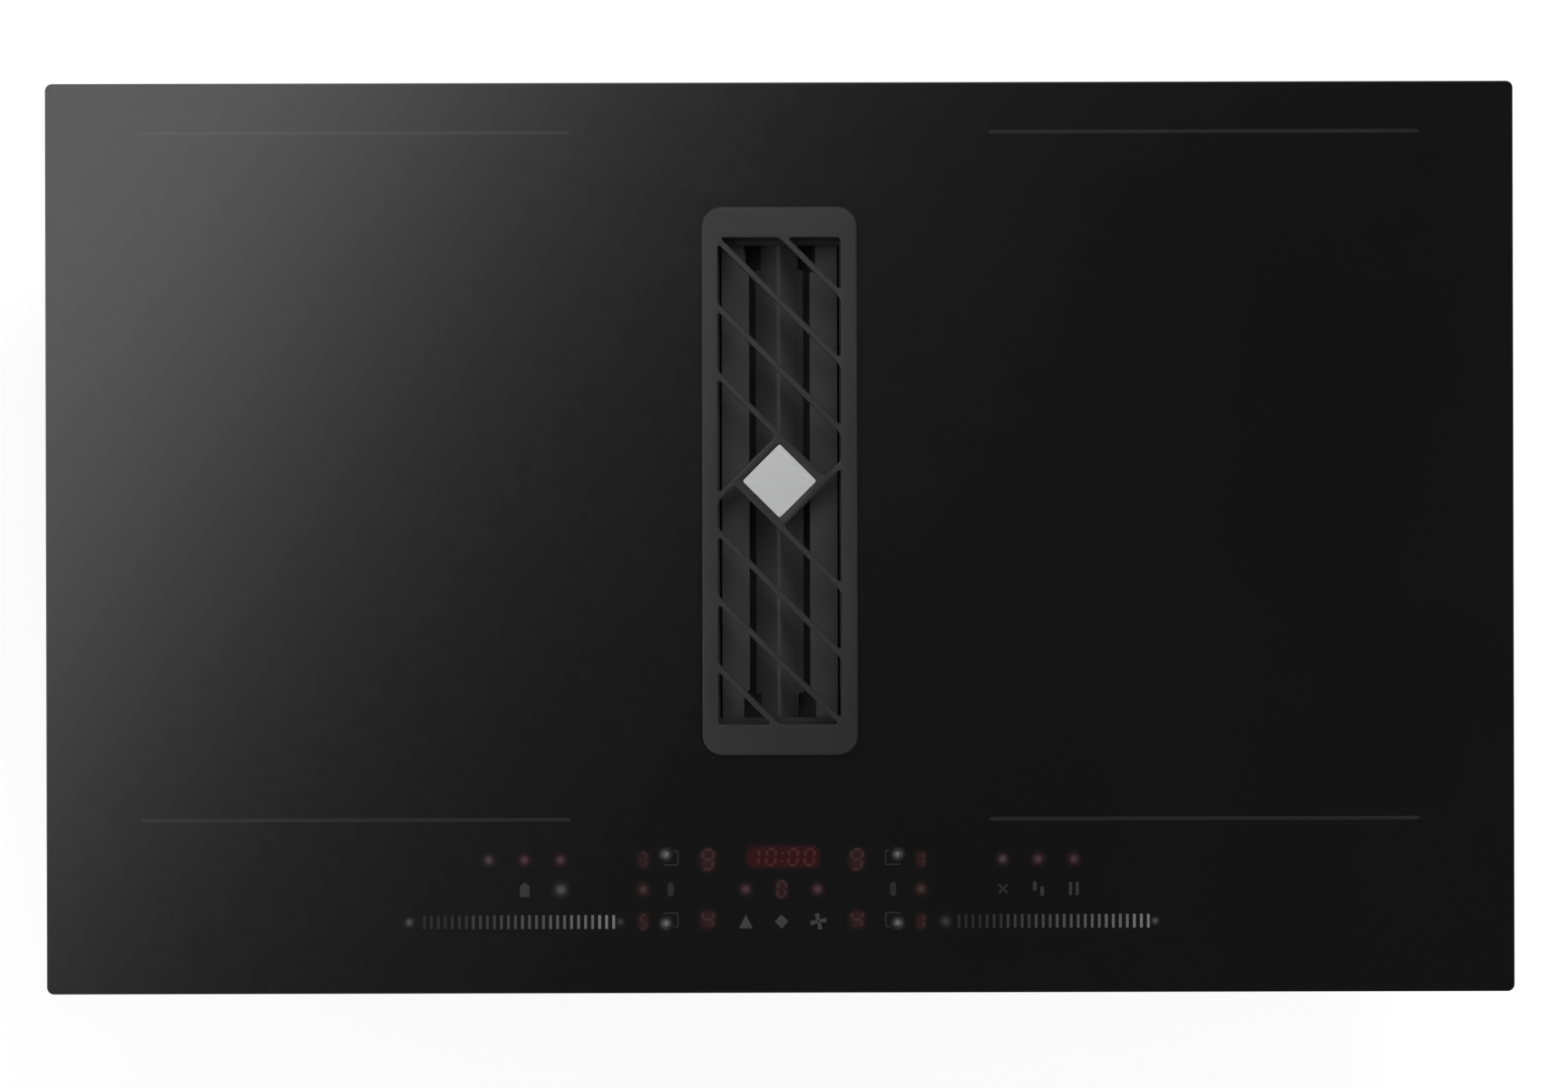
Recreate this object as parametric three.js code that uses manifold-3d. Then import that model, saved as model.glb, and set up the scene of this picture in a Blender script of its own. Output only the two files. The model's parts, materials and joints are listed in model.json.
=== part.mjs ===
// A built-in induction cooktop with a downdraft extractor in its middle.
// Millimetres, +Z up, front at -Y. The origin is under the middle of the glass, level with the
// underside of the blower housing, so the cooktop stands on the plane z = 0.
import * as THREE from "three";
import { mergeVertices } from "three/addons/utils/BufferGeometryUtils.js";
import Module from "manifold-3d";

const wasm = await Module();
wasm.setup();

// ---------------------------------------------------------------- clearances
const SEAT = 0.3; // between a piece and what it rests on or is bonded to
const DROP_FIT = 0.5; // beside a piece that drops into its seat
const RUNNING = 2; // round a rotor
const SMALLEST_CORNER = 0.5; // of any rounded outline

// ---------------------------------------------------------------- glass top
const GLASS_WIDTH = 830;
const GLASS_DEPTH = 515;
const GLASS_THICK = 4;
const GLASS_CORNER = 4;
const GLASS_BEVEL = 0.6;
const BODY_DROP = 200; // from the underside of the glass down to z = 0
const SEAL_INSET = 2; // from the edge of the glass
const SEAL_WIDTH = 8;
const SEAL_THICK = 2;

// ---------------------------------------------------------------- vent and grille
const VENT_Y = 32; // the vent lies behind the middle of the glass
const VENT_WIDTH = 82;
const VENT_LENGTH = 304;
const VENT_CORNER = 8;
const GRILLE_OVERLAP = 3; // over the glass on every side of the vent
const GRILLE_CORNER = 11.5;
const GRILLE_PROUD = 3; // above the glass
const GRILLE_BEVEL = 0.8;
const GRILLE_SIDE_BORDER = 9.35; // solid rim beside the barred window
const GRILLE_END_BORDER = 17.5;
const OPENING_FILLET = 2.5;
const SKIRT_WALL = 3;
const BAR_WIDTH = 3.4;
const BAR_DEPTH = 7;
const BAR_PITCH = 38.2; // along the vent, between the 45 degree bars
const RING_REACH = 25.4; // from the middle to a corner of the diamond ring, on its centreline
const RING_FLOOR = 3;
const INLAY_THICK = 2;
const INLAY_CORNER = 1.5;
const INLAY_LIP = 1.1; // of the ring, inwards past the bars, which narrows the pocket of the inlay

// ---------------------------------------------------------------- collar and duct
const COLLAR_WALL = 2;
const COLLAR_FLANGE = 8; // reach of the bonded flange under the glass
const COLLAR_FLANGE_THICK = 2;
const LEDGE_DROP = 14; // from the top of the glass to the ledge that carries the filter
const LEDGE_WIDTH = 3;
const LEDGE_THICK = 2;
const DUCT_WALL = 2.5;
const DUCT_FLANGE = 8;
const DUCT_FLANGE_THICK = 2.5;
const DUCT_PLUNGE = 6; // of the duct into the blower housing
const GASKET_THICK = 3;
const GASKET_WIDTH = 7;

// ---------------------------------------------------------------- grease filter and drip tray
const FILTER_RIM_THICK = 2;
const FILTER_DEPTH = 42;
const FILTER_WALL = 1.2;
const BAFFLE_SHEET = 1;
const AIR_SLOT = 4; // the dark gaps between the upper baffles
const CENTRE_BAFFLE_WIDTH = 27;
const RIDGE_RISE = 8;
const BAFFLE_LIP = 6;
const BAFFLE_TOP_DROP = 3.5; // from the underside of the rim to the top of the ridge
const RIDGE_FLAT = 4; // width of the flat crest of the ridge baffle
const SIDE_BAFFLE_SLOPE = 3; // width of the slopes of the side baffles
const END_RAIL = 4;
const END_RAIL_INSET = 10;
const END_NOTCH = 24; // where the baffles narrow before the end walls
const END_NOTCH_WIDTH = 3;
const TROUGH_WIDTH = 13;
const TROUGH_DEPTH = 9;
const TROUGH_DROP = 20; // from the lips of the upper baffles
const TRAY_HEIGHT = 28;
const TRAY_WALL = 1.5;
const TRAY_CORNER = 6;
const TRAY_LUG = 12; // finger lugs at both ends

// ---------------------------------------------------------------- hob box
const PAN_INSET = 17; // from the edge of the glass
const PAN_HEIGHT = 58;
const PAN_CORNER = 8;
const PAN_SHEET = 1;
const PAN_FLANGE = 3.5;
const INTAKE_SLOT = 5; // width of the slots that let cooling air in
const INTAKE_PITCH = 12;
const INTAKE_SHARE = 0.8; // length of the slots under a fan, of the size of the fan
const WALL_SLOTS = 8; // in each side wall
const WALL_SLOT_PITCH = 18;
const WALL_SLOT_MARGIN = 14; // above the floor and under the rim
const CABLE_HOLE_OFFSET = 25; // from the middle of the terminal box
const SHELF_MARGIN = 10; // from the outside of the pan
const SHELF_TO_DUCT = 40.5; // from the flange of the duct
const COIL_WIDTH = 208;
const COIL_LENGTH = 172;
const COIL_THICK = 4.5;
const COIL_CORNER = 46;
const COIL_EYE_WIDTH = 64;
const COIL_EYE_LENGTH = 40;
const COIL_GAP = 18; // between the two windings of a zone
const CARRIER_MARGIN = 4;
const CARRIER_THICK = 5;
const CARRIER_BORE = 9;
const INSULATION_INSET = 3; // from the edge of the shelf
const INSULATION_THICK = 3;
const PROBE_RADIUS = 7;
const PROBE_STEM_RADIUS = 3;
const SHELF_SHEET = 1.5;
const SHELF_SLOT = 16; // stamped slots that let cooling air past the coils
const SHELF_SLOT_SPREAD = 0.86; // between the two columns of slots, of the width of the shelf
const SHELF_SLOT_SHARE = 0.2; // length of a slot, of the length of the shelf
const BOARD_THICK = 1.6;
const BOARD_STANDOFF = 7;
const STANDOFF_RADIUS = 3;
const POWER_BOARD_WIDTH = 200;
const POWER_BOARD_LENGTH = 168;
const POWER_BOARD_Y = 22;
const HEATSINK_WIDTH = 56;
const HEATSINK_LENGTH = 150;
const HEATSINK_HEIGHT = 28;
const HEATSINK_BASE = 5;
const HEATSINK_FINS = 9;
const HEATSINK_FIN = 1.6;
const HEATSINK_INSET = 17; // from the inner edge of its board
const CAPACITOR_RADIUS = 9;
const CAPACITOR_HEIGHT = 24;
const CAPACITOR_PITCH = 30;
const CAPACITOR_INSET = 24; // from the outer edge of the power board
const CHOKE_SIZE = 28;
const CHOKE_HEIGHT = 19.6;
const CHOKE_OFFSET = 45; // to either side of the middle of the power board
const CHOKE_INSET = 70;
const CHOKE_PITCH = 42; // on the mains board
const SOLDER_OVERLAP = 0.5; // of a part into the board that carries it
const FAN_SIZE = 80;
const FAN_HEIGHT = 25;
const FAN_WALL = 2.5;
const FAN_HUB_RADIUS = 19;
const FAN_BLADES = 7;
const FAN_BLADE_THICK = 1.6;
const FAN_BLADE_PITCH = 35; // degrees
const FAN_FLOOR = 3;
const FAN_INSET = 8; // from the side of the shelf
const FAN_SETBACK = 10.5; // from the front of the shelf
const MAINS_BOARD_WIDTH = 150;
const MAINS_BOARD_LENGTH = 60;
const MAINS_BOARD_SETBACK = 9.5; // from the rear of the shelf

// ---------------------------------------------------------------- touch control
const CONTROL_GAP = 8; // between the control and the shelves behind it
const CONTROL_WIDTH = 444;
const CONTROL_LENGTH = 62;
const CONTROL_HEIGHT = 12;
const CONTROL_WALL = 2;
const CONTROL_LEG = 10;
const CONTROL_RIB = 4;
const CONTROL_RIB_SPREAD = 404; // between the outer two of the three ribs
const DISPLAY_HEIGHT = 5;
const DISPLAY_LENGTH = 18;
const CLOCK_WIDTH = 44; // of the middle display
const DIGIT_WIDTH = 16; // of the displays beside it
const DISPLAY_PITCH = 42;
const DISPLAY_OFFSET = 16; // behind the middle of the board

// ---------------------------------------------------------------- blower
const BLOWER_WALL = 3;
const BLOWER_Y = -5; // axis of the impeller
const SCROLL_START = 106; // spiral radius at the tongue
const SCROLL_END = 158; // spiral radius where the outlet begins
const TONGUE_ANGLE = 75; // degrees from +X
const SCROLL_STEPS = 26;
const OUTLET_WIDTH = 222;
const OUTLET_HEIGHT = 89;
const OUTLET_INSET = 28.5; // from the rear of the pan to the end of the housing
const SPIGOT_LENGTH = 38;
const SPIGOT_WALL = 2;
const SPIGOT_FLANGE = 9;
const SPIGOT_FLANGE_THICK = 3;
const SPIGOT_CORNER = 5;
const SUMP_GAP = 4; // between the duct and the walls of the sump
const SUMP_CORNER = 8;
const HOOD_REACH = 20; // of the upper shell behind the tongue's radius
const EYE_RADIUS = 66;
const MOUTH_FLARE = 10;
const MOUTH_THICK = 2;
const MOUTH_DEPTH = 14;
const IMPELLER_RADIUS = 96;
const IMPELLER_BLADES = 32;
const BLADE_CHORD = 17;
const BLADE_THICK = 1.6;
const IMPELLER_DISC = 2.5;
const IMPELLER_RING = 4;
const IMPELLER_FLOOR = 16; // from the floor of the housing to the underside of the disc
const DOME_RISE = 26; // of the hub that covers the motor, above the disc
const SHAFT_RADIUS = 4;
const SHAFT_PROUD = 3;
const ROTOR_RADIUS = 42;
const ROTOR_WALL = 2.5;
const STATOR_RADIUS = 36;
const STATOR_FOOT = 3;
const STATOR_FOOT_REACH = 12;
const SHAFT_SEAT = 2; // floor left under the shaft in the stator
const BRIDGE_LENGTH = 178; // along Y, of the passage from the duct to the eye
const TRAY_RIB = 2; // low rib on the floor that keeps the drip tray in the middle
const TRAY_RIB_HEIGHT = 4;

// ---------------------------------------------------------------- mains connection
const TERMINAL_SIDE_INSET = 76; // from the side of the pan
const TERMINAL_REAR_INSET = 30.5; // from the rear of the pan
const TERMINAL_WIDTH = 120;
const TERMINAL_LENGTH = 84;
const TERMINAL_HEIGHT = 44;
const TERMINAL_WALL = 2.5;
const TERMINAL_LID = 2.5;
const TERMINAL_POLES = 5;
const POLE_PITCH = 13;
const BLOCK_LENGTH = 24;
const BLOCK_HEIGHT = 14;
const BLOCK_STEP = 6; // height of the raised middle of the terminal block
const BLOCK_STEP_LENGTH = 12;
const POLE_RADIUS = 3.5;
const POLE_SLOT = 6;
const HINGE_RADIUS = 3.5;
const PIN_RADIUS = 1.5;
const KNUCKLE_LENGTH = 14;
const GLAND_BORE = 7;
const GLAND_RADIUS = 12;
const GLAND_NUT = 14.5;
const GLAND_LENGTH = 22;

// ---------------------------------------------------------------- fixing clips
const CLIP_INSET = 75.5; // from the corner of the pan to the middle of the clip
const CLIP_WIDTH = 30;
const CLIP_SHEET = 1.2;
const CLIP_REACH = 5;
const CLIP_HEIGHT = 34;
const CLIP_DROP = 6; // from the flange of the pan to the top of the clip
const CLIP_BOW = 0.45; // place of the widest point, of the height from the top

// ---------------------------------------------------------------- levels worked out from the above
const glassBottom = BODY_DROP;
const glassTop = glassBottom + GLASS_THICK;
const panTop = glassBottom - SEAT;
const panBottom = BODY_DROP - PAN_HEIGHT;
const panFloor = panBottom + PAN_SHEET;
const housingTop = panBottom - SEAT;
const ledgeTop = glassTop - LEDGE_DROP;
const collarOuterWidth = VENT_WIDTH - 2 * SEAT;
const collarOuterLength = VENT_LENGTH - 2 * SEAT;
const collarInnerWidth = collarOuterWidth - 2 * COLLAR_WALL;
const collarInnerLength = collarOuterLength - 2 * COLLAR_WALL;
const collarCorner = VENT_CORNER - SEAT;
const ledgeWidth = collarInnerWidth - 2 * LEDGE_WIDTH;
const ledgeLength = collarInnerLength - 2 * LEDGE_WIDTH;
const collarFlangeBottom = glassBottom - SEAT - COLLAR_FLANGE_THICK;
const grilleWidth = VENT_WIDTH + 2 * GRILLE_OVERLAP;
const grilleLength = VENT_LENGTH + 2 * GRILLE_OVERLAP;
const openingWidth = grilleWidth - 2 * GRILLE_SIDE_BORDER;
const openingLength = grilleLength - 2 * GRILLE_END_BORDER;
const ductWidth = VENT_WIDTH + 2 * DUCT_WALL;
const ductLength = VENT_LENGTH + 2 * DUCT_WALL;
const ductCorner = VENT_CORNER + DUCT_WALL;
const scrollFloor = BLOWER_WALL;
const scrollTop = scrollFloor + OUTLET_HEIGHT;
const voluteTop = scrollTop + BLOWER_WALL;

// ---------------------------------------------------------------- places in plan
const panWidth = GLASS_WIDTH - 2 * PAN_INSET;
const panDepth = GLASS_DEPTH - 2 * PAN_INSET;
const controlY = -panDepth / 2 + SHELF_MARGIN + CONTROL_LENGTH / 2;
const shelfFront = controlY + CONTROL_LENGTH / 2 + CONTROL_GAP;
const shelfRear = panDepth / 2 - SHELF_MARGIN;
const shelfInner = ductWidth / 2 + DUCT_FLANGE + SHELF_TO_DUCT;
const shelfOuter = panWidth / 2 - SHELF_MARGIN;
const shelfWidth = shelfOuter - shelfInner;
const shelfLength = shelfRear - shelfFront;
const bayX = (shelfInner + shelfOuter) / 2; // middle of each cooking zone
const bayY = (shelfFront + shelfRear) / 2;
const fanBayX = shelfWidth / 2 - FAN_SIZE / 2 - FAN_INSET; // within the bay
const fanBayY = FAN_SIZE / 2 + FAN_SETBACK - shelfLength / 2;
const terminalX = panWidth / 2 - TERMINAL_SIDE_INSET - TERMINAL_WIDTH / 2;
const terminalY = panDepth / 2 - TERMINAL_REAR_INSET - TERMINAL_LENGTH / 2;
const outletEndY = panDepth / 2 - OUTLET_INSET;

// ---------------------------------------------------------------- materials
const finish = (color, roughness, metalness) =>
  new THREE.MeshStandardMaterial({ color, roughness, metalness });
const materials = {
  glass: finish(0x141415, 0.1, 0),
  grille: finish(0x343435, 0.55, 0.2),
  silver: finish(0xb4b4b5, 0.35, 0.8),
  filter: finish(0x3a3a3c, 0.4, 0.7),
  blackPlastic: finish(0x1d1e20, 0.5, 0),
  greyPlastic: finish(0x55585b, 0.5, 0),
  rubber: finish(0x19191a, 0.9, 0),
  steel: finish(0x8e9194, 0.45, 0.8),
  aluminium: finish(0xa9abad, 0.4, 0.8),
  copper: finish(0x9a5a34, 0.5, 0.6),
  insulation: finish(0xd8d4c8, 0.9, 0),
  board: finish(0x1f5a3a, 0.6, 0),
  whitePlastic: finish(0xd5d5d0, 0.5, 0),
};

// ---------------------------------------------------------------- building blocks
// A closed geometry as a solid that can be joined and cut.
function solid(geometry) {
  const bare = geometry.index ? geometry.toNonIndexed() : geometry.clone();
  bare.deleteAttribute("normal");
  bare.deleteAttribute("uv");
  const merged = mergeVertices(bare);
  return new wasm.Manifold(
    new wasm.Mesh({
      numProp: 3,
      vertProperties: merged.attributes.position.array,
      triVerts: new Uint32Array(merged.index.array),
    }),
  );
}

// A solid back as a geometry with flat faces.
function geometryOf(body) {
  const { vertProperties, triVerts } = body.getMesh();
  const indexed = new THREE.BufferGeometry();
  indexed.setAttribute("position", new THREE.BufferAttribute(vertProperties, 3));
  indexed.setIndex(new THREE.BufferAttribute(triVerts, 1));
  const flat = indexed.toNonIndexed();
  flat.computeVertexNormals();
  return flat;
}

const join = (...bodies) => bodies.reduce((all, next) => all.add(next));
const cut = (body, ...tools) => tools.reduce((left, tool) => left.subtract(tool), body);

// A rectangle with round corners, centred on (x, y).
function roundedRect(width, length, corner, x = 0, y = 0) {
  const r = Math.max(SMALLEST_CORNER, Math.min(corner, width / 2, length / 2));
  const right = x + width / 2 - r;
  const left = x - width / 2 + r;
  const back = y + length / 2 - r;
  const front = y - length / 2 + r;
  const shape = new THREE.Shape();
  shape.absarc(right, back, r, 0, Math.PI / 2);
  shape.absarc(left, back, r, Math.PI / 2, Math.PI);
  shape.absarc(left, front, r, Math.PI, Math.PI * 1.5);
  shape.absarc(right, front, r, Math.PI * 1.5, Math.PI * 2);
  shape.closePath();
  return shape;
}

// An outline carried from z = bottom up to z = top.
function prism(shape, bottom, top, curveSegments = 4) {
  const geometry = new THREE.ExtrudeGeometry(shape, {
    depth: top - bottom,
    bevelEnabled: false,
    curveSegments,
  });
  return solid(geometry.translate(0, 0, bottom));
}

// A rounded plate, and a rounded tube with an even wall, both standing on z = bottom.
const plate = (width, length, corner, bottom, top, x = 0, y = 0) =>
  prism(roundedRect(width, length, corner, x, y), bottom, top);
function tube(width, length, corner, wall, bottom, top) {
  const hole = plate(width - 2 * wall, length - 2 * wall, corner - wall, bottom - 1, top + 1);
  return cut(plate(width, length, corner, bottom, top), hole);
}

// A box by the middle of its footprint and its two levels.
function block(width, length, bottom, top, x = 0, y = 0) {
  const geometry = new THREE.BoxGeometry(width, length, top - bottom);
  return solid(geometry.translate(x, y, (bottom + top) / 2));
}

// An upright cylinder.
function post(radius, bottom, top, x = 0, y = 0, sides = 16) {
  const geometry = new THREE.CylinderGeometry(radius, radius, top - bottom, sides);
  return solid(geometry.rotateX(Math.PI / 2).translate(x, y, (bottom + top) / 2));
}

// A closed profile of [radius, height] points, listed anticlockwise, turned about the Z axis.
function turned(profile, segments = 48) {
  const points = profile.map(([radius, height]) => new THREE.Vector2(radius, height));
  points.push(points[0].clone());
  return solid(new THREE.LatheGeometry(points, segments).rotateX(Math.PI / 2));
}

// An outline given by its corners.
function polygon(corners) {
  const shape = new THREE.Shape();
  corners.forEach(([x, y], i) => (i ? shape.lineTo(x, y) : shape.moveTo(x, y)));
  shape.closePath();
  return shape;
}

// An outline drawn in X and Z, carried along Y and centred there.
function alongY(shape, length) {
  const geometry = new THREE.ExtrudeGeometry(shape, { depth: length, bevelEnabled: false });
  return solid(geometry.rotateX(Math.PI / 2).translate(0, length / 2, 0));
}

// An outline drawn in Y and Z, carried along X and centred there.
function alongX(shape, length, curveSegments = 4) {
  const geometry = new THREE.ExtrudeGeometry(shape, {
    depth: length,
    bevelEnabled: false,
    curveSegments,
  });
  geometry.rotateX(Math.PI / 2).rotateZ(Math.PI / 2);
  return solid(geometry.translate(-length / 2, 0, 0));
}

// A bent sheet: the strip that lies below a polyline of [x, z] points, measured straight down.
function sheetStrip(points, thick) {
  const under = points.map(([x, z]) => [x, z - thick]).reverse();
  return polygon([...points, ...under]);
}

function piece(parent, name, body, material, x = 0, y = 0, z = 0) {
  const mesh = new THREE.Mesh(geometryOf(body), material);
  mesh.name = name;
  mesh.position.set(x, y, z);
  parent.add(mesh);
  return mesh;
}

// ---------------------------------------------------------------- glass and its seal
function glassTopPlate() {
  const outline = roundedRect(GLASS_WIDTH, GLASS_DEPTH, GLASS_CORNER);
  outline.holes.push(roundedRect(VENT_WIDTH, VENT_LENGTH, VENT_CORNER, 0, VENT_Y));
  const geometry = new THREE.ExtrudeGeometry(outline, {
    depth: GLASS_THICK - 2 * GLASS_BEVEL,
    bevelThickness: GLASS_BEVEL,
    bevelSize: GLASS_BEVEL,
    bevelOffset: -GLASS_BEVEL,
    bevelSegments: 1,
    curveSegments: 5,
  });
  return solid(geometry.translate(0, 0, glassBottom + GLASS_BEVEL));
}

function rimSeal() {
  const width = GLASS_WIDTH - 2 * SEAL_INSET;
  const length = GLASS_DEPTH - 2 * SEAL_INSET;
  const top = glassBottom - SEAT;
  return tube(width, length, GLASS_CORNER, SEAL_WIDTH, top - SEAL_THICK, top);
}

// ---------------------------------------------------------------- grille
// The part of a convex outline where a*x + b*y < limit.
function clipOutline(corners, [a, b, limit]) {
  const kept = [];
  corners.forEach(([x, y], i) => {
    const [nextX, nextY] = corners[(i + 1) % corners.length];
    const here = a * x + b * y - limit;
    const there = a * nextX + b * nextY - limit;
    if (here <= 0) kept.push([x, y]);
    if (here * there < 0) {
      const share = here / (here - there);
      kept.push([x + (nextX - x) * share, y + (nextY - y) * share]);
    }
  });
  return kept;
}

// A convex outline with its corners rounded off.
function softened(corners, radius) {
  const points = corners.map(([x, y]) => new THREE.Vector2(x, y));
  const shape = new THREE.Shape();
  points.forEach((corner, i) => {
    const before = points[(i + points.length - 1) % points.length];
    const after = points[(i + 1) % points.length];
    const reach = (other) => Math.min(radius, corner.distanceTo(other) * 0.45);
    const start = corner.clone().lerp(before, reach(before) / corner.distanceTo(before));
    const end = corner.clone().lerp(after, reach(after) / corner.distanceTo(after));
    if (i) shape.lineTo(start.x, start.y);
    else shape.moveTo(start.x, start.y);
    shape.quadraticCurveTo(corner.x, corner.y, end.x, end.y);
  });
  shape.closePath();
  return shape;
}

// The windows between the bars. Bars fall to the right at 45 degrees, and two short ones that
// rise to the right close the diamond ring and run on to the rim.
function grilleWindows() {
  const halfWidth = openingWidth / 2;
  const halfLength = openingLength / 2;
  const frame = [
    [-halfWidth, -halfLength],
    [halfWidth, -halfLength],
    [halfWidth, halfLength],
    [-halfWidth, halfLength],
  ];
  const halfBar = (BAR_WIDTH / 2) * Math.SQRT2;
  const beyond = halfWidth + halfLength;
  const barsPerSide = Math.ceil((beyond - RING_REACH) / BAR_PITCH);
  const windows = [];
  for (let i = 0; i < barsPerSide; i++) {
    const low = RING_REACH + i * BAR_PITCH + halfBar;
    const high = RING_REACH + (i + 1) * BAR_PITCH - halfBar;
    const limits = [[-1, -1, -low], [1, 1, high]];
    // Next to the ring, the rising bar that runs to the rim closes the window.
    if (i === 0) limits.push([1, -1, RING_REACH - halfBar]);
    windows.push(limits.reduce(clipOutline, frame));
  }
  // The window beside the ring: under the first falling bar, over the rising one.
  const beside = [[1, 1, RING_REACH - halfBar], [1, -1, -RING_REACH - halfBar]];
  windows.push(beside.reduce(clipOutline, frame));
  const whole = windows.filter((corners) => corners.length > 2);
  const turnedRound = whole.map((corners) => corners.map(([x, y]) => [-x, -y]));
  return [...whole, ...turnedRound].map((corners) => softened(corners, OPENING_FILLET));
}

const diamondHalf = RING_REACH - (BAR_WIDTH / 2 + DROP_FIT) * Math.SQRT2 - INLAY_LIP;
const diamond = (reach, corner) =>
  softened([[reach, 0], [0, reach], [-reach, 0], [0, -reach]], corner);

const skirtWidth = collarInnerWidth - 2 * DROP_FIT;
const skirtLength = collarInnerLength - 2 * DROP_FIT;
const skirtBottom = ledgeTop + FILTER_RIM_THICK + 2 * SEAT;
const grilleTop = glassTop + GRILLE_PROUD;
const inlayBottom = grilleTop - INLAY_THICK;

function ventGrille() {
  const bevelled = new THREE.ExtrudeGeometry(roundedRect(grilleWidth, grilleLength, GRILLE_CORNER), {
    depth: GRILLE_PROUD - SEAT - GRILLE_BEVEL,
    bevelThickness: GRILLE_BEVEL,
    bevelSize: GRILLE_BEVEL,
    bevelOffset: -GRILLE_BEVEL,
    bevelSegments: 1,
    curveSegments: 5,
  });
  const flat = GRILLE_PROUD - SEAT;
  const slab = solid(bevelled.translate(0, 0, glassTop + SEAT));
  const foot = glassTop + SEAT;
  const base = plate(grilleWidth, grilleLength, GRILLE_CORNER, foot, foot + flat / 2);
  const collarCornerInside = collarCorner - COLLAR_WALL;
  const skirt = plate(skirtWidth, skirtLength, collarCornerInside, skirtBottom, glassTop + flat / 2);
  const well = plate(
    skirtWidth - 2 * SKIRT_WALL,
    skirtLength - 2 * SKIRT_WALL,
    OPENING_FILLET,
    skirtBottom - 1,
    grilleTop - BAR_DEPTH,
  );
  const windows = grilleWindows().map((shape) => prism(shape, skirtBottom - 1, grilleTop + 1, 3));
  const pocketOutline = diamond(diamondHalf + DROP_FIT, INLAY_CORNER);
  const pocket = prism(pocketOutline, inlayBottom - SEAT, grilleTop + 1, 3);
  const aboveGrille = block(grilleWidth * 2, grilleLength * 2, grilleTop, grilleTop + BAR_DEPTH);
  const belowSlab = block(grilleWidth * 2, grilleLength * 2, 0, glassTop + SEAT);
  const top = join(cut(slab, belowSlab), base);
  const ringFloor = prism(
    diamond(RING_REACH, INLAY_CORNER),
    inlayBottom - SEAT - RING_FLOOR,
    inlayBottom - SEAT,
    3,
  );
  return cut(join(cut(join(top, skirt), well, ...windows), ringFloor), pocket, aboveGrille);
}

const grilleInlay = () =>
  prism(diamond(diamondHalf, INLAY_CORNER), inlayBottom, grilleTop, 3);

// ---------------------------------------------------------------- collar, duct and gasket
function ventCollar() {
  const bottom = ledgeTop - LEDGE_THICK;
  const sleeve = tube(
    collarOuterWidth,
    collarOuterLength,
    collarCorner,
    COLLAR_WALL,
    bottom,
    glassTop - SEAT,
  );
  const flange = tube(
    collarOuterWidth + 2 * COLLAR_FLANGE,
    collarOuterLength + 2 * COLLAR_FLANGE,
    VENT_CORNER,
    COLLAR_FLANGE + COLLAR_WALL / 2,
    collarFlangeBottom,
    glassBottom - SEAT,
  );
  const reach = LEDGE_WIDTH + COLLAR_WALL / 2;
  const ledge = tube(
    ledgeWidth + 2 * reach,
    ledgeLength + 2 * reach,
    collarCorner - COLLAR_WALL / 2,
    reach,
    bottom,
    ledgeTop,
  );
  return join(sleeve, flange, ledge);
}

const ductTop = collarFlangeBottom - SEAT;
const ductBottom = housingTop - BLOWER_WALL - DUCT_PLUNGE;
const gasketBottom = panFloor + SEAT;
const gasketTop = gasketBottom + GASKET_THICK;

function intakeDuct() {
  const sleeve = tube(ductWidth, ductLength, ductCorner, DUCT_WALL, ductBottom, ductTop);
  const collar = (bottom) =>
    tube(
      ductWidth + 2 * DUCT_FLANGE,
      ductLength + 2 * DUCT_FLANGE,
      ductCorner + 2,
      DUCT_FLANGE + DUCT_WALL / 2,
      bottom,
      bottom + DUCT_FLANGE_THICK,
    );
  return join(sleeve, collar(ductTop - DUCT_FLANGE_THICK), collar(gasketTop + SEAT));
}

function ductGasket() {
  const width = ductWidth + 2 * (SEAT + GASKET_WIDTH);
  const length = ductLength + 2 * (SEAT + GASKET_WIDTH);
  return tube(width, length, ductCorner + GASKET_WIDTH, GASKET_WIDTH, gasketBottom, gasketTop);
}

// ---------------------------------------------------------------- grease filter
const filterWidth = ledgeWidth - 2 * DROP_FIT;
const filterLength = ledgeLength - 2 * DROP_FIT;
const filterRimBottom = ledgeTop + SEAT;
const baffleLength = filterLength - 2 * (FILTER_WALL + SEAT);
const ridgeTop = filterRimBottom - BAFFLE_TOP_DROP;
const shoulder = ridgeTop - RIDGE_RISE;
const troughTop = shoulder - TROUGH_DROP + BAFFLE_LIP;

function filterFrame() {
  const rim = tube(
    skirtWidth,
    skirtLength,
    collarCorner - COLLAR_WALL,
    (skirtWidth - filterWidth) / 2 + FILTER_WALL,
    filterRimBottom,
    filterRimBottom + FILTER_RIM_THICK,
  );
  const bottom = filterRimBottom - FILTER_DEPTH;
  const corner = FILTER_WALL + SMALLEST_CORNER;
  const shell = tube(filterWidth, filterLength, corner, FILTER_WALL, bottom, filterRimBottom + 0.5);
  const railY = filterLength / 2 - END_RAIL_INSET;
  const railWidth = filterWidth - FILTER_WALL;
  const rails = [-1, 1].map((end) =>
    block(railWidth, END_RAIL, ridgeTop + SEAT, filterRimBottom, 0, end * railY),
  );
  return join(rim, shell, ...rails);
}

// Narrower baffle ends, which leave wider slots beside the end walls.
function notchEnds(body, edges) {
  const middle = (baffleLength - END_NOTCH) / 2 + 1;
  const width = END_NOTCH_WIDTH * 2;
  const bottom = shoulder - BAFFLE_LIP - 1;
  const notches = edges.flatMap((x) =>
    [-1, 1].map((end) => block(width, END_NOTCH + 2, bottom, ridgeTop + 1, x, end * middle)),
  );
  return cut(body, ...notches);
}

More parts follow.
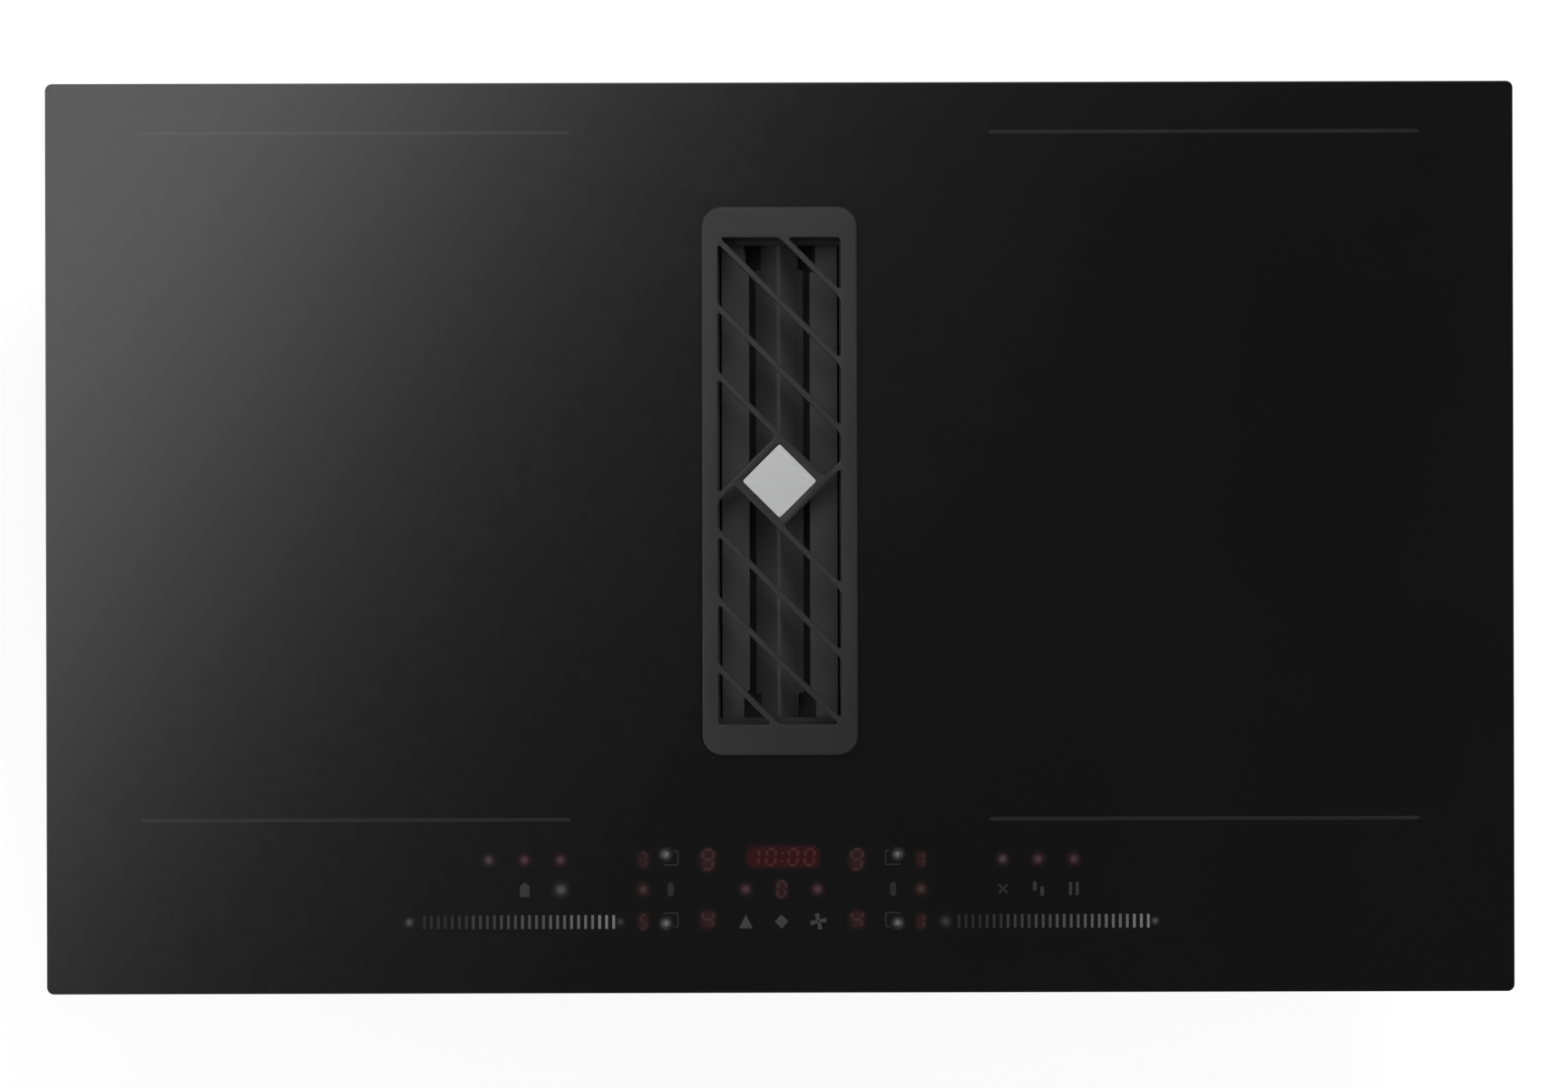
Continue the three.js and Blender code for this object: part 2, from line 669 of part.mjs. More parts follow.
// The lip that turns down along one edge of a baffle, centred on x.
const baffleLip = (x) =>
  block(BAFFLE_SHEET, baffleLength, shoulder - BAFFLE_LIP, shoulder - BAFFLE_SHEET / 2, x);

function centreBaffle() {
  const half = CENTRE_BAFFLE_WIDTH / 2;
  const crest = RIDGE_FLAT / 2;
  const profile = [[half, shoulder], [crest, ridgeTop], [-crest, ridgeTop], [-half, shoulder]];
  const roof = sheetStrip(profile, BAFFLE_SHEET);
  const lips = [-1, 1].map((side) => baffleLip(side * (half - BAFFLE_SHEET / 2)));
  return notchEnds(join(alongY(roof, baffleLength), ...lips), [-half, half]);
}

function sideBaffle(side) {
  const inner = CENTRE_BAFFLE_WIDTH / 2 + AIR_SLOT;
  const outer = filterWidth / 2 - FILTER_WALL - SEAT;
  const rise = RIDGE_RISE / 2;
  const profile = [
    [side * outer, shoulder],
    [side * (outer - SIDE_BAFFLE_SLOPE), shoulder + rise],
    [side * (inner + SIDE_BAFFLE_SLOPE), shoulder + rise],
    [side * inner, shoulder],
  ];
  const top = sheetStrip(side > 0 ? profile : profile.reverse(), BAFFLE_SHEET);
  const lip = baffleLip(side * (inner + BAFFLE_SHEET / 2));
  return notchEnds(join(alongY(top, baffleLength), lip), [side * inner]);
}

// A trough under each air slot, which turns the air and catches the grease.
function lowerBaffle() {
  const outer = block(TROUGH_WIDTH, baffleLength, troughTop - TROUGH_DEPTH, troughTop);
  const hollow = block(
    TROUGH_WIDTH - 2 * BAFFLE_SHEET,
    baffleLength - 2 * BAFFLE_SHEET,
    troughTop - TROUGH_DEPTH + BAFFLE_SHEET,
    troughTop + 1,
  );
  return cut(outer, hollow);
}

// ---------------------------------------------------------------- drip tray
function dripTray() {
  const bottom = scrollFloor + SEAT;
  const top = bottom + TRAY_HEIGHT;
  const outer = plate(filterWidth, filterLength, TRAY_CORNER, bottom, top);
  const inner = plate(
    filterWidth - 2 * TRAY_WALL,
    filterLength - 2 * TRAY_WALL,
    TRAY_CORNER - TRAY_WALL,
    bottom + TRAY_WALL,
    top + 1,
  );
  const lugs = [-1, 1].map((end) =>
    block(filterWidth / 3, TRAY_LUG, top - TRAY_WALL, top, 0, (end * (filterLength - TRAY_LUG)) / 2),
  );
  return join(cut(outer, inner), ...lugs);
}

function buildVent(cooktop) {
  const vent = new THREE.Group();
  vent.position.y = VENT_Y;
  cooktop.add(vent);
  piece(vent, "vent_collar", ventCollar(), materials.blackPlastic);
  piece(vent, "vent_grille", ventGrille(), materials.grille);
  piece(vent, "grille_inlay", grilleInlay(), materials.silver);
  piece(vent, "filter_frame", filterFrame(), materials.filter);
  piece(vent, "filter_ridge_baffle", centreBaffle(), materials.filter);
  const troughX = CENTRE_BAFFLE_WIDTH / 2 + AIR_SLOT / 2;
  for (const [side, word] of [[-1, "left"], [1, "right"]]) {
    piece(vent, `filter_baffle_${word}`, sideBaffle(side), materials.filter);
    piece(vent, `grease_trough_${word}`, lowerBaffle(), materials.filter, side * troughX);
  }
  piece(vent, "drip_tray", dripTray(), materials.steel);
  piece(vent, "intake_duct", intakeDuct(), materials.blackPlastic);
  piece(vent, "duct_gasket", ductGasket(), materials.rubber);
}

// ---------------------------------------------------------------- hob box
// Even rows of slots through a sheet: count columns and rows about the middle of a patch.
function slotGrid(columns, rows, pitchX, pitchY, slotCutter) {
  const slots = [];
  for (let column = 0; column < columns; column++)
    for (let row = 0; row < rows; row++)
      slots.push(slotCutter((column - (columns - 1) / 2) * pitchX, (row - (rows - 1) / 2) * pitchY));
  return slots;
}

const fanX = (side) => side * (bayX + fanBayX);
const fanY = bayY + fanBayY;

function basePan() {
  const inside = (width) => width - 2 * PAN_SHEET;
  const shell = cut(
    plate(panWidth, panDepth, PAN_CORNER, panBottom, panTop),
    plate(inside(panWidth), inside(panDepth), PAN_CORNER - PAN_SHEET, panFloor, panTop + 1),
  );
  const flange = tube(
    panWidth + 2 * PAN_FLANGE,
    panDepth + 2 * PAN_FLANGE,
    PAN_CORNER,
    PAN_FLANGE + PAN_SHEET / 2,
    panTop - PAN_SHEET,
    panTop,
  );
  const shaft = plate(
    ductWidth + 2 * SEAT,
    ductLength + 2 * SEAT,
    ductCorner,
    panBottom - 1,
    panFloor + 1,
    0,
    VENT_Y,
  );
  const fanSlots = [-1, 1].flatMap((side) =>
    slotGrid(6, 1, INTAKE_PITCH, 0, (x) =>
      block(
        INTAKE_SLOT,
        FAN_SIZE * INTAKE_SHARE,
        panBottom - 1,
        panFloor + 1,
        fanX(side) + x,
        fanY,
      ),
    ),
  );
  const wallSlots = [-1, 1].flatMap((side) =>
    slotGrid(1, WALL_SLOTS, 0, WALL_SLOT_PITCH, (_, y) =>
      block(
        PAN_CORNER,
        INTAKE_SLOT,
        panFloor + WALL_SLOT_MARGIN,
        panTop - WALL_SLOT_MARGIN,
        (side * panWidth) / 2,
        bayY + y,
      ),
    ),
  );
  const cableHoleX = terminalX - CABLE_HOLE_OFFSET;
  const cableHole = post(GLAND_RADIUS, panBottom - 1, panFloor + 1, cableHoleX, terminalY);
  return cut(join(shell, flange), shaft, cableHole, ...fanSlots, ...wallSlots);
}

// Levels of the stack under each cooking zone, from the glass down.
const insulationTop = glassBottom - SEAT;
const coilTop = insulationTop - INSULATION_THICK - SEAT;
const carrierTop = coilTop - COIL_THICK - SEAT;
const shelfTop = carrierTop - CARRIER_THICK - SEAT;
const coilY = (row) => (row * (COIL_LENGTH + COIL_GAP)) / 2;

function insulationSheet() {
  const width = shelfWidth - 2 * INSULATION_INSET;
  const length = shelfLength - 2 * INSULATION_INSET;
  return plate(width, length, 4, insulationTop - INSULATION_THICK, insulationTop);
}

// The shelf's sides turn down and stand on the floor of the pan.
function coilShelf() {
  const foot = panFloor + SEAT;
  const sheet = block(shelfWidth, shelfLength, foot, shelfTop);
  const under = block(
    shelfWidth - 2 * SHELF_SHEET,
    shelfLength + 2,
    foot - 1,
    shelfTop - SHELF_SHEET,
  );
  const slotLength = shelfLength * SHELF_SLOT_SHARE;
  const slots = slotGrid(2, 3, shelfWidth * SHELF_SLOT_SPREAD, shelfLength / 3, (x, y) =>
    block(SHELF_SLOT, slotLength, shelfTop - SHELF_SHEET - 1, shelfTop + 1, x, y),
  );
  return cut(sheet, under, ...slots);
}

function coilCarrier() {
  const size = [COIL_WIDTH + 2 * CARRIER_MARGIN, COIL_LENGTH + 2 * CARRIER_MARGIN];
  const disc = plate(...size, COIL_CORNER + CARRIER_MARGIN, carrierTop - CARRIER_THICK, carrierTop);
  return cut(disc, post(CARRIER_BORE, carrierTop - CARRIER_THICK - 1, carrierTop + 1));
}

function coilWinding() {
  const bottom = coilTop - COIL_THICK;
  const eye = plate(COIL_EYE_WIDTH, COIL_EYE_LENGTH, COIL_CORNER / 3, bottom - 1, coilTop + 1);
  return cut(plate(COIL_WIDTH, COIL_LENGTH, COIL_CORNER, bottom, coilTop), eye);
}

// A probe stands on the shelf, in the bore of the carrier, and reaches up through the coil's eye.
function temperatureProbe() {
  const bottom = shelfTop + SEAT;
  const top = insulationTop - INSULATION_THICK - SEAT;
  return join(
    post(PROBE_RADIUS, bottom, bottom + CARRIER_THICK, 0, 0, 12),
    post(PROBE_STEM_RADIUS, bottom, top, 0, 0, 12),
  );
}

const boardBottom = panFloor + SEAT + BOARD_STANDOFF;
const boardTop = boardBottom + BOARD_THICK;

// A circuit board on four standoffs.
function bareBoard(width, length) {
  const board = block(width, length, boardBottom, boardTop);
  const inset = STANDOFF_RADIUS + 2;
  const pitchX = width - 2 * inset;
  const pitchY = length - 2 * inset;
  const standoffs = slotGrid(2, 2, pitchX, pitchY, (x, y) =>
    post(STANDOFF_RADIUS, panFloor + SEAT, boardBottom + SOLDER_OVERLAP, x, y, 8),
  );
  return join(board, ...standoffs);
}

const onBoard = boardTop - SOLDER_OVERLAP;
const choke = (x, y) => block(CHOKE_SIZE, CHOKE_SIZE, onBoard, boardTop + CHOKE_HEIGHT, x, y);

function powerBoard() {
  const edge = -POWER_BOARD_WIDTH / 2;
  const capTop = boardTop + CAPACITOR_HEIGHT;
  const capacitors = [-1, 0, 1].map((row) =>
    post(CAPACITOR_RADIUS, onBoard, capTop, edge + CAPACITOR_INSET, row * CAPACITOR_PITCH, 10),
  );
  const chokes = [-1, 1].map((row) => choke(edge + CHOKE_INSET, row * CHOKE_OFFSET));
  return join(bareBoard(POWER_BOARD_WIDTH, POWER_BOARD_LENGTH), ...capacitors, ...chokes);
}

function heatsink() {
  const bottom = boardTop + SEAT;
  const base = block(HEATSINK_WIDTH, HEATSINK_LENGTH, bottom, bottom + HEATSINK_BASE);
  const pitch = (HEATSINK_WIDTH - HEATSINK_FIN) / (HEATSINK_FINS - 1);
  const fins = Array.from({ length: HEATSINK_FINS }, (_, i) =>
    block(
      HEATSINK_FIN,
      HEATSINK_LENGTH,
      bottom + HEATSINK_BASE / 2,
      bottom + HEATSINK_HEIGHT,
      (i - (HEATSINK_FINS - 1) / 2) * pitch,
    ),
  );
  return join(base, ...fins);
}

function mainsBoard() {
  const parts = [-1, 0, 1].map((column) => choke(column * CHOKE_PITCH, 0));
  return join(bareBoard(MAINS_BOARD_WIDTH, MAINS_BOARD_LENGTH), ...parts);
}

const fanBore = FAN_SIZE / 2 - FAN_WALL;
const fanBottom = panFloor + SEAT;

// A square frame with a round bore, and spokes below that carry the hub of the rotor.
function fanFrame() {
  const body = plate(FAN_SIZE, FAN_SIZE, 5, fanBottom, fanBottom + FAN_HEIGHT);
  const bore = post(fanBore, fanBottom - 1, fanBottom + FAN_HEIGHT + 1, 0, 0, 32);
  const seat = post(FAN_HUB_RADIUS, fanBottom, fanBottom + FAN_FLOOR, 0, 0, 16);
  const spokes = [0, 1].map((i) =>
    block(FAN_SIZE - 2, 4, fanBottom, fanBottom + FAN_FLOOR).rotate([0, 0, 45 + i * 90]),
  );
  return join(cut(body, bore), seat, ...spokes);
}

// Blades are slanted plates that run from inside the hub to just short of the bore.
function fanRotor() {
  const bottom = fanBottom + FAN_FLOOR + SEAT;
  const top = fanBottom + FAN_HEIGHT - 1;
  const hub = post(FAN_HUB_RADIUS, bottom, top, 0, 0, 20);
  const span = fanBore - RUNNING - FAN_HUB_RADIUS + 2;
  const chord = (top - bottom - 3) / Math.sin(THREE.MathUtils.degToRad(FAN_BLADE_PITCH + 20));
  const geometry = new THREE.BoxGeometry(span, chord, FAN_BLADE_THICK);
  geometry.rotateX(THREE.MathUtils.degToRad(FAN_BLADE_PITCH));
  geometry.translate(FAN_HUB_RADIUS - 2 + span / 2, 0, (bottom + top) / 2);
  const blade = solid(geometry);
  const blades = Array.from({ length: FAN_BLADES }, (_, i) =>
    blade.rotate([0, 0, (i * 360) / FAN_BLADES]),
  );
  return join(hub, ...blades);
}

function buildBay(cooktop, side, word) {
  const bay = new THREE.Group();
  bay.position.set(side * bayX, bayY, 0);
  cooktop.add(bay);
  piece(bay, `insulation_sheet_${word}`, insulationSheet(), materials.insulation);
  piece(bay, `coil_shelf_${word}`, coilShelf(), materials.aluminium);
  for (const [row, place] of [[-1, "front"], [1, "rear"]]) {
    const where = `${place}_${word}`;
    const y = coilY(row);
    piece(bay, `coil_carrier_${where}`, coilCarrier(), materials.blackPlastic, 0, y);
    piece(bay, `coil_winding_${where}`, coilWinding(), materials.copper, 0, y);
    piece(bay, `temperature_probe_${where}`, temperatureProbe(), materials.whitePlastic, 0, y);
  }
  piece(bay, `power_board_${word}`, powerBoard(), materials.board, 0, POWER_BOARD_Y);
  const heatsinkX = POWER_BOARD_WIDTH / 2 - HEATSINK_WIDTH / 2 - HEATSINK_INSET;
  piece(bay, `heatsink_${word}`, heatsink(), materials.aluminium, heatsinkX, POWER_BOARD_Y);
  piece(bay, `fan_frame_${word}`, fanFrame(), materials.blackPlastic, side * fanBayX, fanBayY);
  piece(bay, `fan_rotor_${word}`, fanRotor(), materials.greyPlastic, side * fanBayX, fanBayY);
}

// ---------------------------------------------------------------- touch control
const controlTop = glassBottom - SEAT;
const controlBottom = controlTop - CONTROL_HEIGHT;

function controlCarrier() {
  const shelfZ = controlTop - BOARD_THICK - DISPLAY_HEIGHT;
  const tray = cut(
    plate(CONTROL_WIDTH, CONTROL_LENGTH, 4, controlBottom, controlTop),
    plate(
      CONTROL_WIDTH - 2 * CONTROL_WALL,
      CONTROL_LENGTH - 2 * CONTROL_WALL,
      1,
      controlBottom + CONTROL_WALL,
      controlTop + 1,
    ),
  );
  const ribs = [-0.5, 0, 0.5].map((share) =>
    block(
      CONTROL_RIB,
      CONTROL_LENGTH - CONTROL_WALL,
      controlBottom + 1,
      shelfZ - SEAT,
      share * CONTROL_RIB_SPREAD,
    ),
  );
  const legs = [-1, 1].flatMap((x) =>
    [-1, 1].map((y) =>
      block(
        CONTROL_LEG,
        CONTROL_LEG,
        panFloor + SEAT,
        controlBottom + 1,
        (x * (CONTROL_WIDTH - CONTROL_LEG)) / 2,
        (y * (CONTROL_LENGTH - CONTROL_LEG)) / 2,
      ),
    ),
  );
  return join(tray, ...ribs, ...legs);
}

// The board carries three displays that stand up to the glass.
function touchBoard() {
  const bottom = controlTop - BOARD_THICK - DISPLAY_HEIGHT;
  const width = CONTROL_WIDTH - 2 * (CONTROL_WALL + DROP_FIT);
  const length = CONTROL_LENGTH - 2 * (CONTROL_WALL + DROP_FIT);
  const board = block(width, length, bottom, bottom + BOARD_THICK);
  const displays = [-1, 0, 1].map((column) =>
    block(
      column ? DIGIT_WIDTH : CLOCK_WIDTH,
      DISPLAY_LENGTH,
      bottom + SOLDER_OVERLAP,
      controlTop - SEAT,
      column * DISPLAY_PITCH,
      DISPLAY_OFFSET,
    ),
  );
  return join(board, ...displays);
}

// ---------------------------------------------------------------- blower
const sumpWidth = ductWidth + 2 * (SUMP_GAP + BLOWER_WALL);
const sumpLength = ductLength + 2 * (SUMP_GAP + BLOWER_WALL);

// The spiral about the impeller's axis, from the tongue round to the left side.
// grow moves the whole curve outwards, which gives the outside of the wall.
function spiral(grow) {
  const start = THREE.MathUtils.degToRad(TONGUE_ANGLE);
  const sweep = start + Math.PI;
  return Array.from({ length: SCROLL_STEPS + 1 }, (_, i) => {
    const share = i / SCROLL_STEPS;
    const angle = start - sweep * share;
    const radius = SCROLL_START + (SCROLL_END - SCROLL_START) * share + grow;
    return [radius * Math.cos(angle), radius * Math.sin(angle)];
  });
}

// The scroll and the sump share one wall, and that sets the axis of the impeller.
const blowerX = -(sumpWidth / 2 + Math.max(...spiral(0).map(([x]) => x)));
const outletLeft = blowerX - SCROLL_END;

// The spiral, then straight back to the outlet.
function scrollOutline(grow) {
  const corners = spiral(grow).map(([x, y]) => [blowerX + x, BLOWER_Y + y]);
  corners.push([outletLeft - grow, outletEndY + 1]);
  corners.push([outletLeft + OUTLET_WIDTH - 2 * SPIGOT_WALL + grow, outletEndY + 1]);
  return polygon(corners);
}

// The scroll between two levels, cut off square behind backY.
function scrollSolid(grow, bottom, top, backY = outletEndY) {
  const keep = block(GLASS_WIDTH, GLASS_WIDTH, bottom, top, 0, backY - GLASS_WIDTH / 2);
  return prism(scrollOutline(grow), bottom, top).intersect(keep);
}
const sumpSolid = (inset, bottom, top) =>
  plate(sumpWidth - 2 * inset, sumpLength - 2 * inset, SUMP_CORNER - inset, bottom, top, 0, VENT_Y);

// The passage that joins the two, above the scroll.
const bridgeSolid = (inset, bottom, top) =>
  block(-blowerX, BRIDGE_LENGTH - 2 * inset, bottom, top, blowerX / 2, BLOWER_Y);

// The tub that holds the scroll and, beside it, the sump under the duct.
function blowerLowerShell() {
  const outside = join(scrollSolid(BLOWER_WALL, 0, scrollTop), sumpSolid(0, 0, scrollTop));
  const scroll = scrollSolid(0, scrollFloor, scrollTop + 1, outletEndY + 1);
  const sump = sumpSolid(BLOWER_WALL, scrollFloor, scrollTop + 1);
  const ribWidth = filterWidth + 2 * (DROP_FIT + TRAY_RIB);
  const ribLength = filterLength + 2 * (DROP_FIT + TRAY_RIB);
  const ribTop = scrollFloor + TRAY_RIB_HEIGHT;
  const rib = tube(ribWidth, ribLength, TRAY_CORNER, TRAY_RIB, scrollFloor - 1, ribTop);
  return join(cut(outside, scroll, sump), rib.translate([0, VENT_Y, 0]));
}

// The plate that closes the scroll, with the eye of the blower in it and a hole over the sump.
function volutePlate() {
  const bottom = scrollTop + SEAT;
  const sheet = join(
    scrollSolid(BLOWER_WALL, bottom, voluteTop),
    bridgeSolid(0, bottom, voluteTop),
    sumpSolid(0, bottom, voluteTop),
  );
  const eye = post(EYE_RADIUS + MOUTH_THICK + SEAT, 0, BODY_DROP, blowerX, BLOWER_Y, 48);
  return cut(sheet, sumpSolid(BLOWER_WALL, bottom - 1, voluteTop + 1), eye);
}

// The hood over both, inside which the air crosses from the duct to the eye.
function blowerUpperShell() {
  const bottom = voluteTop + SEAT;
  const roof = housingTop - BLOWER_WALL;
  const backY = BLOWER_Y + SCROLL_START + HOOD_REACH;
  const outside = join(
    scrollSolid(BLOWER_WALL, bottom, housingTop, backY),
    bridgeSolid(0, bottom, housingTop),
    sumpSolid(0, bottom, housingTop),
  );
  const room = join(
    scrollSolid(0, bottom - 1, roof, backY - BLOWER_WALL),
    bridgeSolid(BLOWER_WALL, bottom - 1, roof),
    sumpSolid(BLOWER_WALL, bottom - 1, roof),
  );
  const shaft = plate(
    ductWidth + 2 * SEAT,
    ductLength + 2 * SEAT,
    ductCorner,
    roof - 1,
    BODY_DROP,
    0,
    VENT_Y,
  );
  return cut(outside, room, shaft);
}

// The ring that leads the air into the impeller, with its inner edge chamfered.
function inletMouth() {
  const top = voluteTop + SEAT + MOUTH_THICK;
  const outer = EYE_RADIUS + MOUTH_THICK;
  const bottom = voluteTop - MOUTH_DEPTH;
  return turned([
    [EYE_RADIUS, bottom],
    [outer, bottom],
    [outer, voluteTop + SEAT],
    [outer + MOUTH_FLARE, voluteTop + SEAT],
    [outer + MOUTH_FLARE, top],
    [outer, top],
    [EYE_RADIUS, top - MOUTH_THICK * 1.5],
  ]);
}

const discBottom = scrollFloor + IMPELLER_FLOOR;
const discTop = discBottom + IMPELLER_DISC;
const domeTop = discTop + DOME_RISE;
const domeUnder = domeTop - IMPELLER_DISC;
const impellerTop = voluteTop - MOUTH_DEPTH - RUNNING;
const shaftBore = SHAFT_RADIUS + SEAT;

// A drum of forward-curved blades between a disc and a ring. The disc is domed over the motor.
function impeller() {
  const domeInner = ROTOR_RADIUS + SEAT;
  const disc = turned([
    [shaftBore, domeUnder],
    [domeInner, domeUnder],
    [domeInner, discBottom],
    [IMPELLER_RADIUS, discBottom],
    [IMPELLER_RADIUS, discTop],
    [domeInner + IMPELLER_DISC, discTop],
    [domeInner + IMPELLER_DISC, domeTop],
    [shaftBore, domeTop],
  ]);
  const ringInner = IMPELLER_RADIUS - BLADE_CHORD;
  const ring = turned([
    [ringInner, impellerTop - IMPELLER_RING],
    [IMPELLER_RADIUS, impellerTop - IMPELLER_RING],
    [IMPELLER_RADIUS, impellerTop],
    [ringInner, impellerTop],
  ]);
  const sag = BLADE_CHORD / 4;
  const inner = ringInner + 1;
  const outer = IMPELLER_RADIUS - 1;
  const middle = (inner + outer) / 2;
  const outline = polygon([
    [inner, 0],
    [middle, -sag],
    [outer, 0],
    [outer, BLADE_THICK],
    [middle, BLADE_THICK - sag],
    [inner, BLADE_THICK],
  ]);
  const blade = prism(outline, discTop - 0.5, impellerTop - IMPELLER_RING / 2);
  const blades = Array.from({ length: IMPELLER_BLADES }, (_, i) =>
    blade.rotate([0, 0, (i * 360) / IMPELLER_BLADES]),
  );
  return join(disc, ring, ...blades);
}

const statorBottom = scrollFloor + SEAT;
const rotorTop = domeUnder - SEAT;

// The stator is bolted to the floor; the rotor cup sits in the impeller's dome and turns round it.
function motorStator() {
  const top = rotorTop - ROTOR_WALL - RUNNING;
  const core = post(STATOR_RADIUS, statorBottom, top, 0, 0, 24);
  const footTop = statorBottom + STATOR_FOOT;
  const foot = post(STATOR_RADIUS + STATOR_FOOT_REACH, statorBottom, footTop, 0, 0, 24);
  const bore = post(shaftBore, statorBottom + SHAFT_SEAT, top + 1, 0, 0, 16);
  return cut(join(core, foot), bore);
}

function motorRotor() {
  const rim = statorBottom + STATOR_FOOT + RUNNING;
  const inner = ROTOR_RADIUS - ROTOR_WALL;
  return turned([
    [shaftBore, rotorTop - ROTOR_WALL],
    [inner, rotorTop - ROTOR_WALL],
    [inner, rim],
    [ROTOR_RADIUS, rim],
    [ROTOR_RADIUS, rotorTop],
    [shaftBore, rotorTop],
  ], 32);
}

const motorShaft = () =>
  post(SHAFT_RADIUS, statorBottom + SHAFT_SEAT + SEAT, domeTop + SHAFT_PROUD, 0, 0, 16);

const outletMiddle = outletLeft + OUTLET_WIDTH / 2 - SPIGOT_WALL;

// The flanged collar that the flat duct slips over.
function outletSpigot() {
  const outer = roundedRect(OUTLET_WIDTH, OUTLET_HEIGHT, SPIGOT_CORNER);
  const bore = roundedRect(
    OUTLET_WIDTH - 2 * SPIGOT_WALL,
    OUTLET_HEIGHT - 2 * SPIGOT_WALL,
    SPIGOT_CORNER - SPIGOT_WALL,
  );
  const flange = roundedRect(
    OUTLET_WIDTH + 2 * SPIGOT_FLANGE,
    OUTLET_HEIGHT + 2 * BLOWER_WALL,
    SPIGOT_CORNER,
  );
  const stand = (body) => body.rotate([90, 0, 0]);
  const sleeve = stand(prism(outer, -SPIGOT_LENGTH, 0));
  const collar = stand(prism(flange, -SPIGOT_FLANGE_THICK, 0));
  return cut(join(sleeve, collar), stand(prism(bore, -SPIGOT_LENGTH - 1, 1)));
}

function buildBlower(cooktop) {
  piece(cooktop, "blower_lower_shell", blowerLowerShell(), materials.blackPlastic);
  piece(cooktop, "volute_plate", volutePlate(), materials.greyPlastic);
  piece(cooktop, "blower_upper_shell", blowerUpperShell(), materials.blackPlastic);
  const outletPlace = [outletMiddle, outletEndY + SEAT, scrollFloor + OUTLET_HEIGHT / 2];
  piece(cooktop, "outlet_spigot", outletSpigot(), materials.greyPlastic, ...outletPlace);
  const axis = new THREE.Group();
  axis.position.set(blowerX, BLOWER_Y, 0);
  cooktop.add(axis);
  piece(axis, "inlet_mouth", inletMouth(), materials.greyPlastic);
  piece(axis, "impeller", impeller(), materials.greyPlastic);
  piece(axis, "motor_stator", motorStator(), materials.steel);
  piece(axis, "motor_rotor", motorRotor(), materials.steel);
  piece(axis, "motor_shaft", motorShaft(), materials.steel);
}

// ---------------------------------------------------------------- mains connection
const terminalTop = panBottom - SEAT;
const terminalBottom = terminalTop - TERMINAL_HEIGHT;
const hingeY = TERMINAL_LENGTH / 2 + HINGE_RADIUS + 1;
const hingeZ = terminalTop - HINGE_RADIUS - 1;

// An open-backed box under the pan. Its rear side is the lid, which hangs from a pin.
function terminalBox() {
  const outside = block(TERMINAL_WIDTH, TERMINAL_LENGTH, terminalBottom, terminalTop);
  const room = block(
    TERMINAL_WIDTH - 2 * TERMINAL_WALL,
    TERMINAL_LENGTH,
    terminalBottom + TERMINAL_WALL,
    terminalTop - TERMINAL_WALL,
    0,
    TERMINAL_WALL,
  );
  const roof = terminalTop - TERMINAL_WALL;
  const cableHole = post(GLAND_RADIUS, roof - 1, terminalTop + 1, -CABLE_HOLE_OFFSET, 0);
  const entry = solid(
    new THREE.CylinderGeometry(GLAND_BORE + 2 + SEAT, GLAND_BORE + 2 + SEAT, TERMINAL_WALL * 4, 16)
      .rotateZ(Math.PI / 2)
      .translate(TERMINAL_WIDTH / 2, 0, terminalBottom + TERMINAL_HEIGHT / 2),
  );
  const knuckles = [-1, 1].map((side) => {
    const x = side * (TERMINAL_WIDTH / 2 - KNUCKLE_LENGTH / 2);
    const barrel = hingeBarrel(KNUCKLE_LENGTH).translate([x, 0, 0]);
    const webLength = HINGE_RADIUS * 2 + 1;
    const web = block(KNUCKLE_LENGTH, webLength, hingeZ, terminalTop, x, hingeY - webLength / 2);
    return join(barrel, web);
  });
  const pinHole = hingeRod(PIN_RADIUS + SEAT / 2, TERMINAL_WIDTH + 2);
  return cut(join(cut(outside, room, cableHole, entry), ...knuckles), pinHole);
}

const hingeRod = (radius, length, sides = 12) =>
  solid(
    new THREE.CylinderGeometry(radius, radius, length, sides)
      .rotateZ(Math.PI / 2)
      .translate(0, hingeY, hingeZ),
  );
const hingeBarrel = (length) => hingeRod(HINGE_RADIUS, length, 16);

// The lid hangs behind the box from the middle knuckle.
function terminalCover() {
  const length = TERMINAL_WIDTH - 2 * (KNUCKLE_LENGTH + DROP_FIT);
  const lidY = TERMINAL_LENGTH / 2 + SEAT + TERMINAL_LID / 2;
  const panelTop = hingeZ - HINGE_RADIUS - 1;
  const panel = block(TERMINAL_WIDTH, TERMINAL_LID, terminalBottom, panelTop, 0, lidY);
  const web = block(length, TERMINAL_LID, panelTop - 1, hingeZ, 0, lidY);
  const knuckle = join(hingeBarrel(length), web);
  return cut(join(panel, knuckle), hingeRod(PIN_RADIUS + SEAT / 2, TERMINAL_WIDTH + 2));
}

function terminalBlock() {
  const bottom = terminalBottom + TERMINAL_WALL + SEAT;
  const width = TERMINAL_POLES * POLE_PITCH;
  const top = bottom + BLOCK_HEIGHT;
  const stepTop = top + BLOCK_STEP;
  const base = block(width, BLOCK_LENGTH, bottom, top);
  const step = block(width, BLOCK_STEP_LENGTH, top - 1, stepTop);
  const wells = slotGrid(TERMINAL_POLES, 1, POLE_PITCH, 0, (x) =>
    post(POLE_RADIUS, top, stepTop + 1, x, 0, 8),
  );
  const middle = (bottom + top) / 2;
  const slots = slotGrid(TERMINAL_POLES, 1, POLE_PITCH, 0, (x) =>
    block(POLE_SLOT, POLE_SLOT, middle - POLE_SLOT / 2, middle + POLE_SLOT / 2, x, BLOCK_LENGTH / 2),
  );
  return cut(join(base, step), ...wells, ...slots);
}

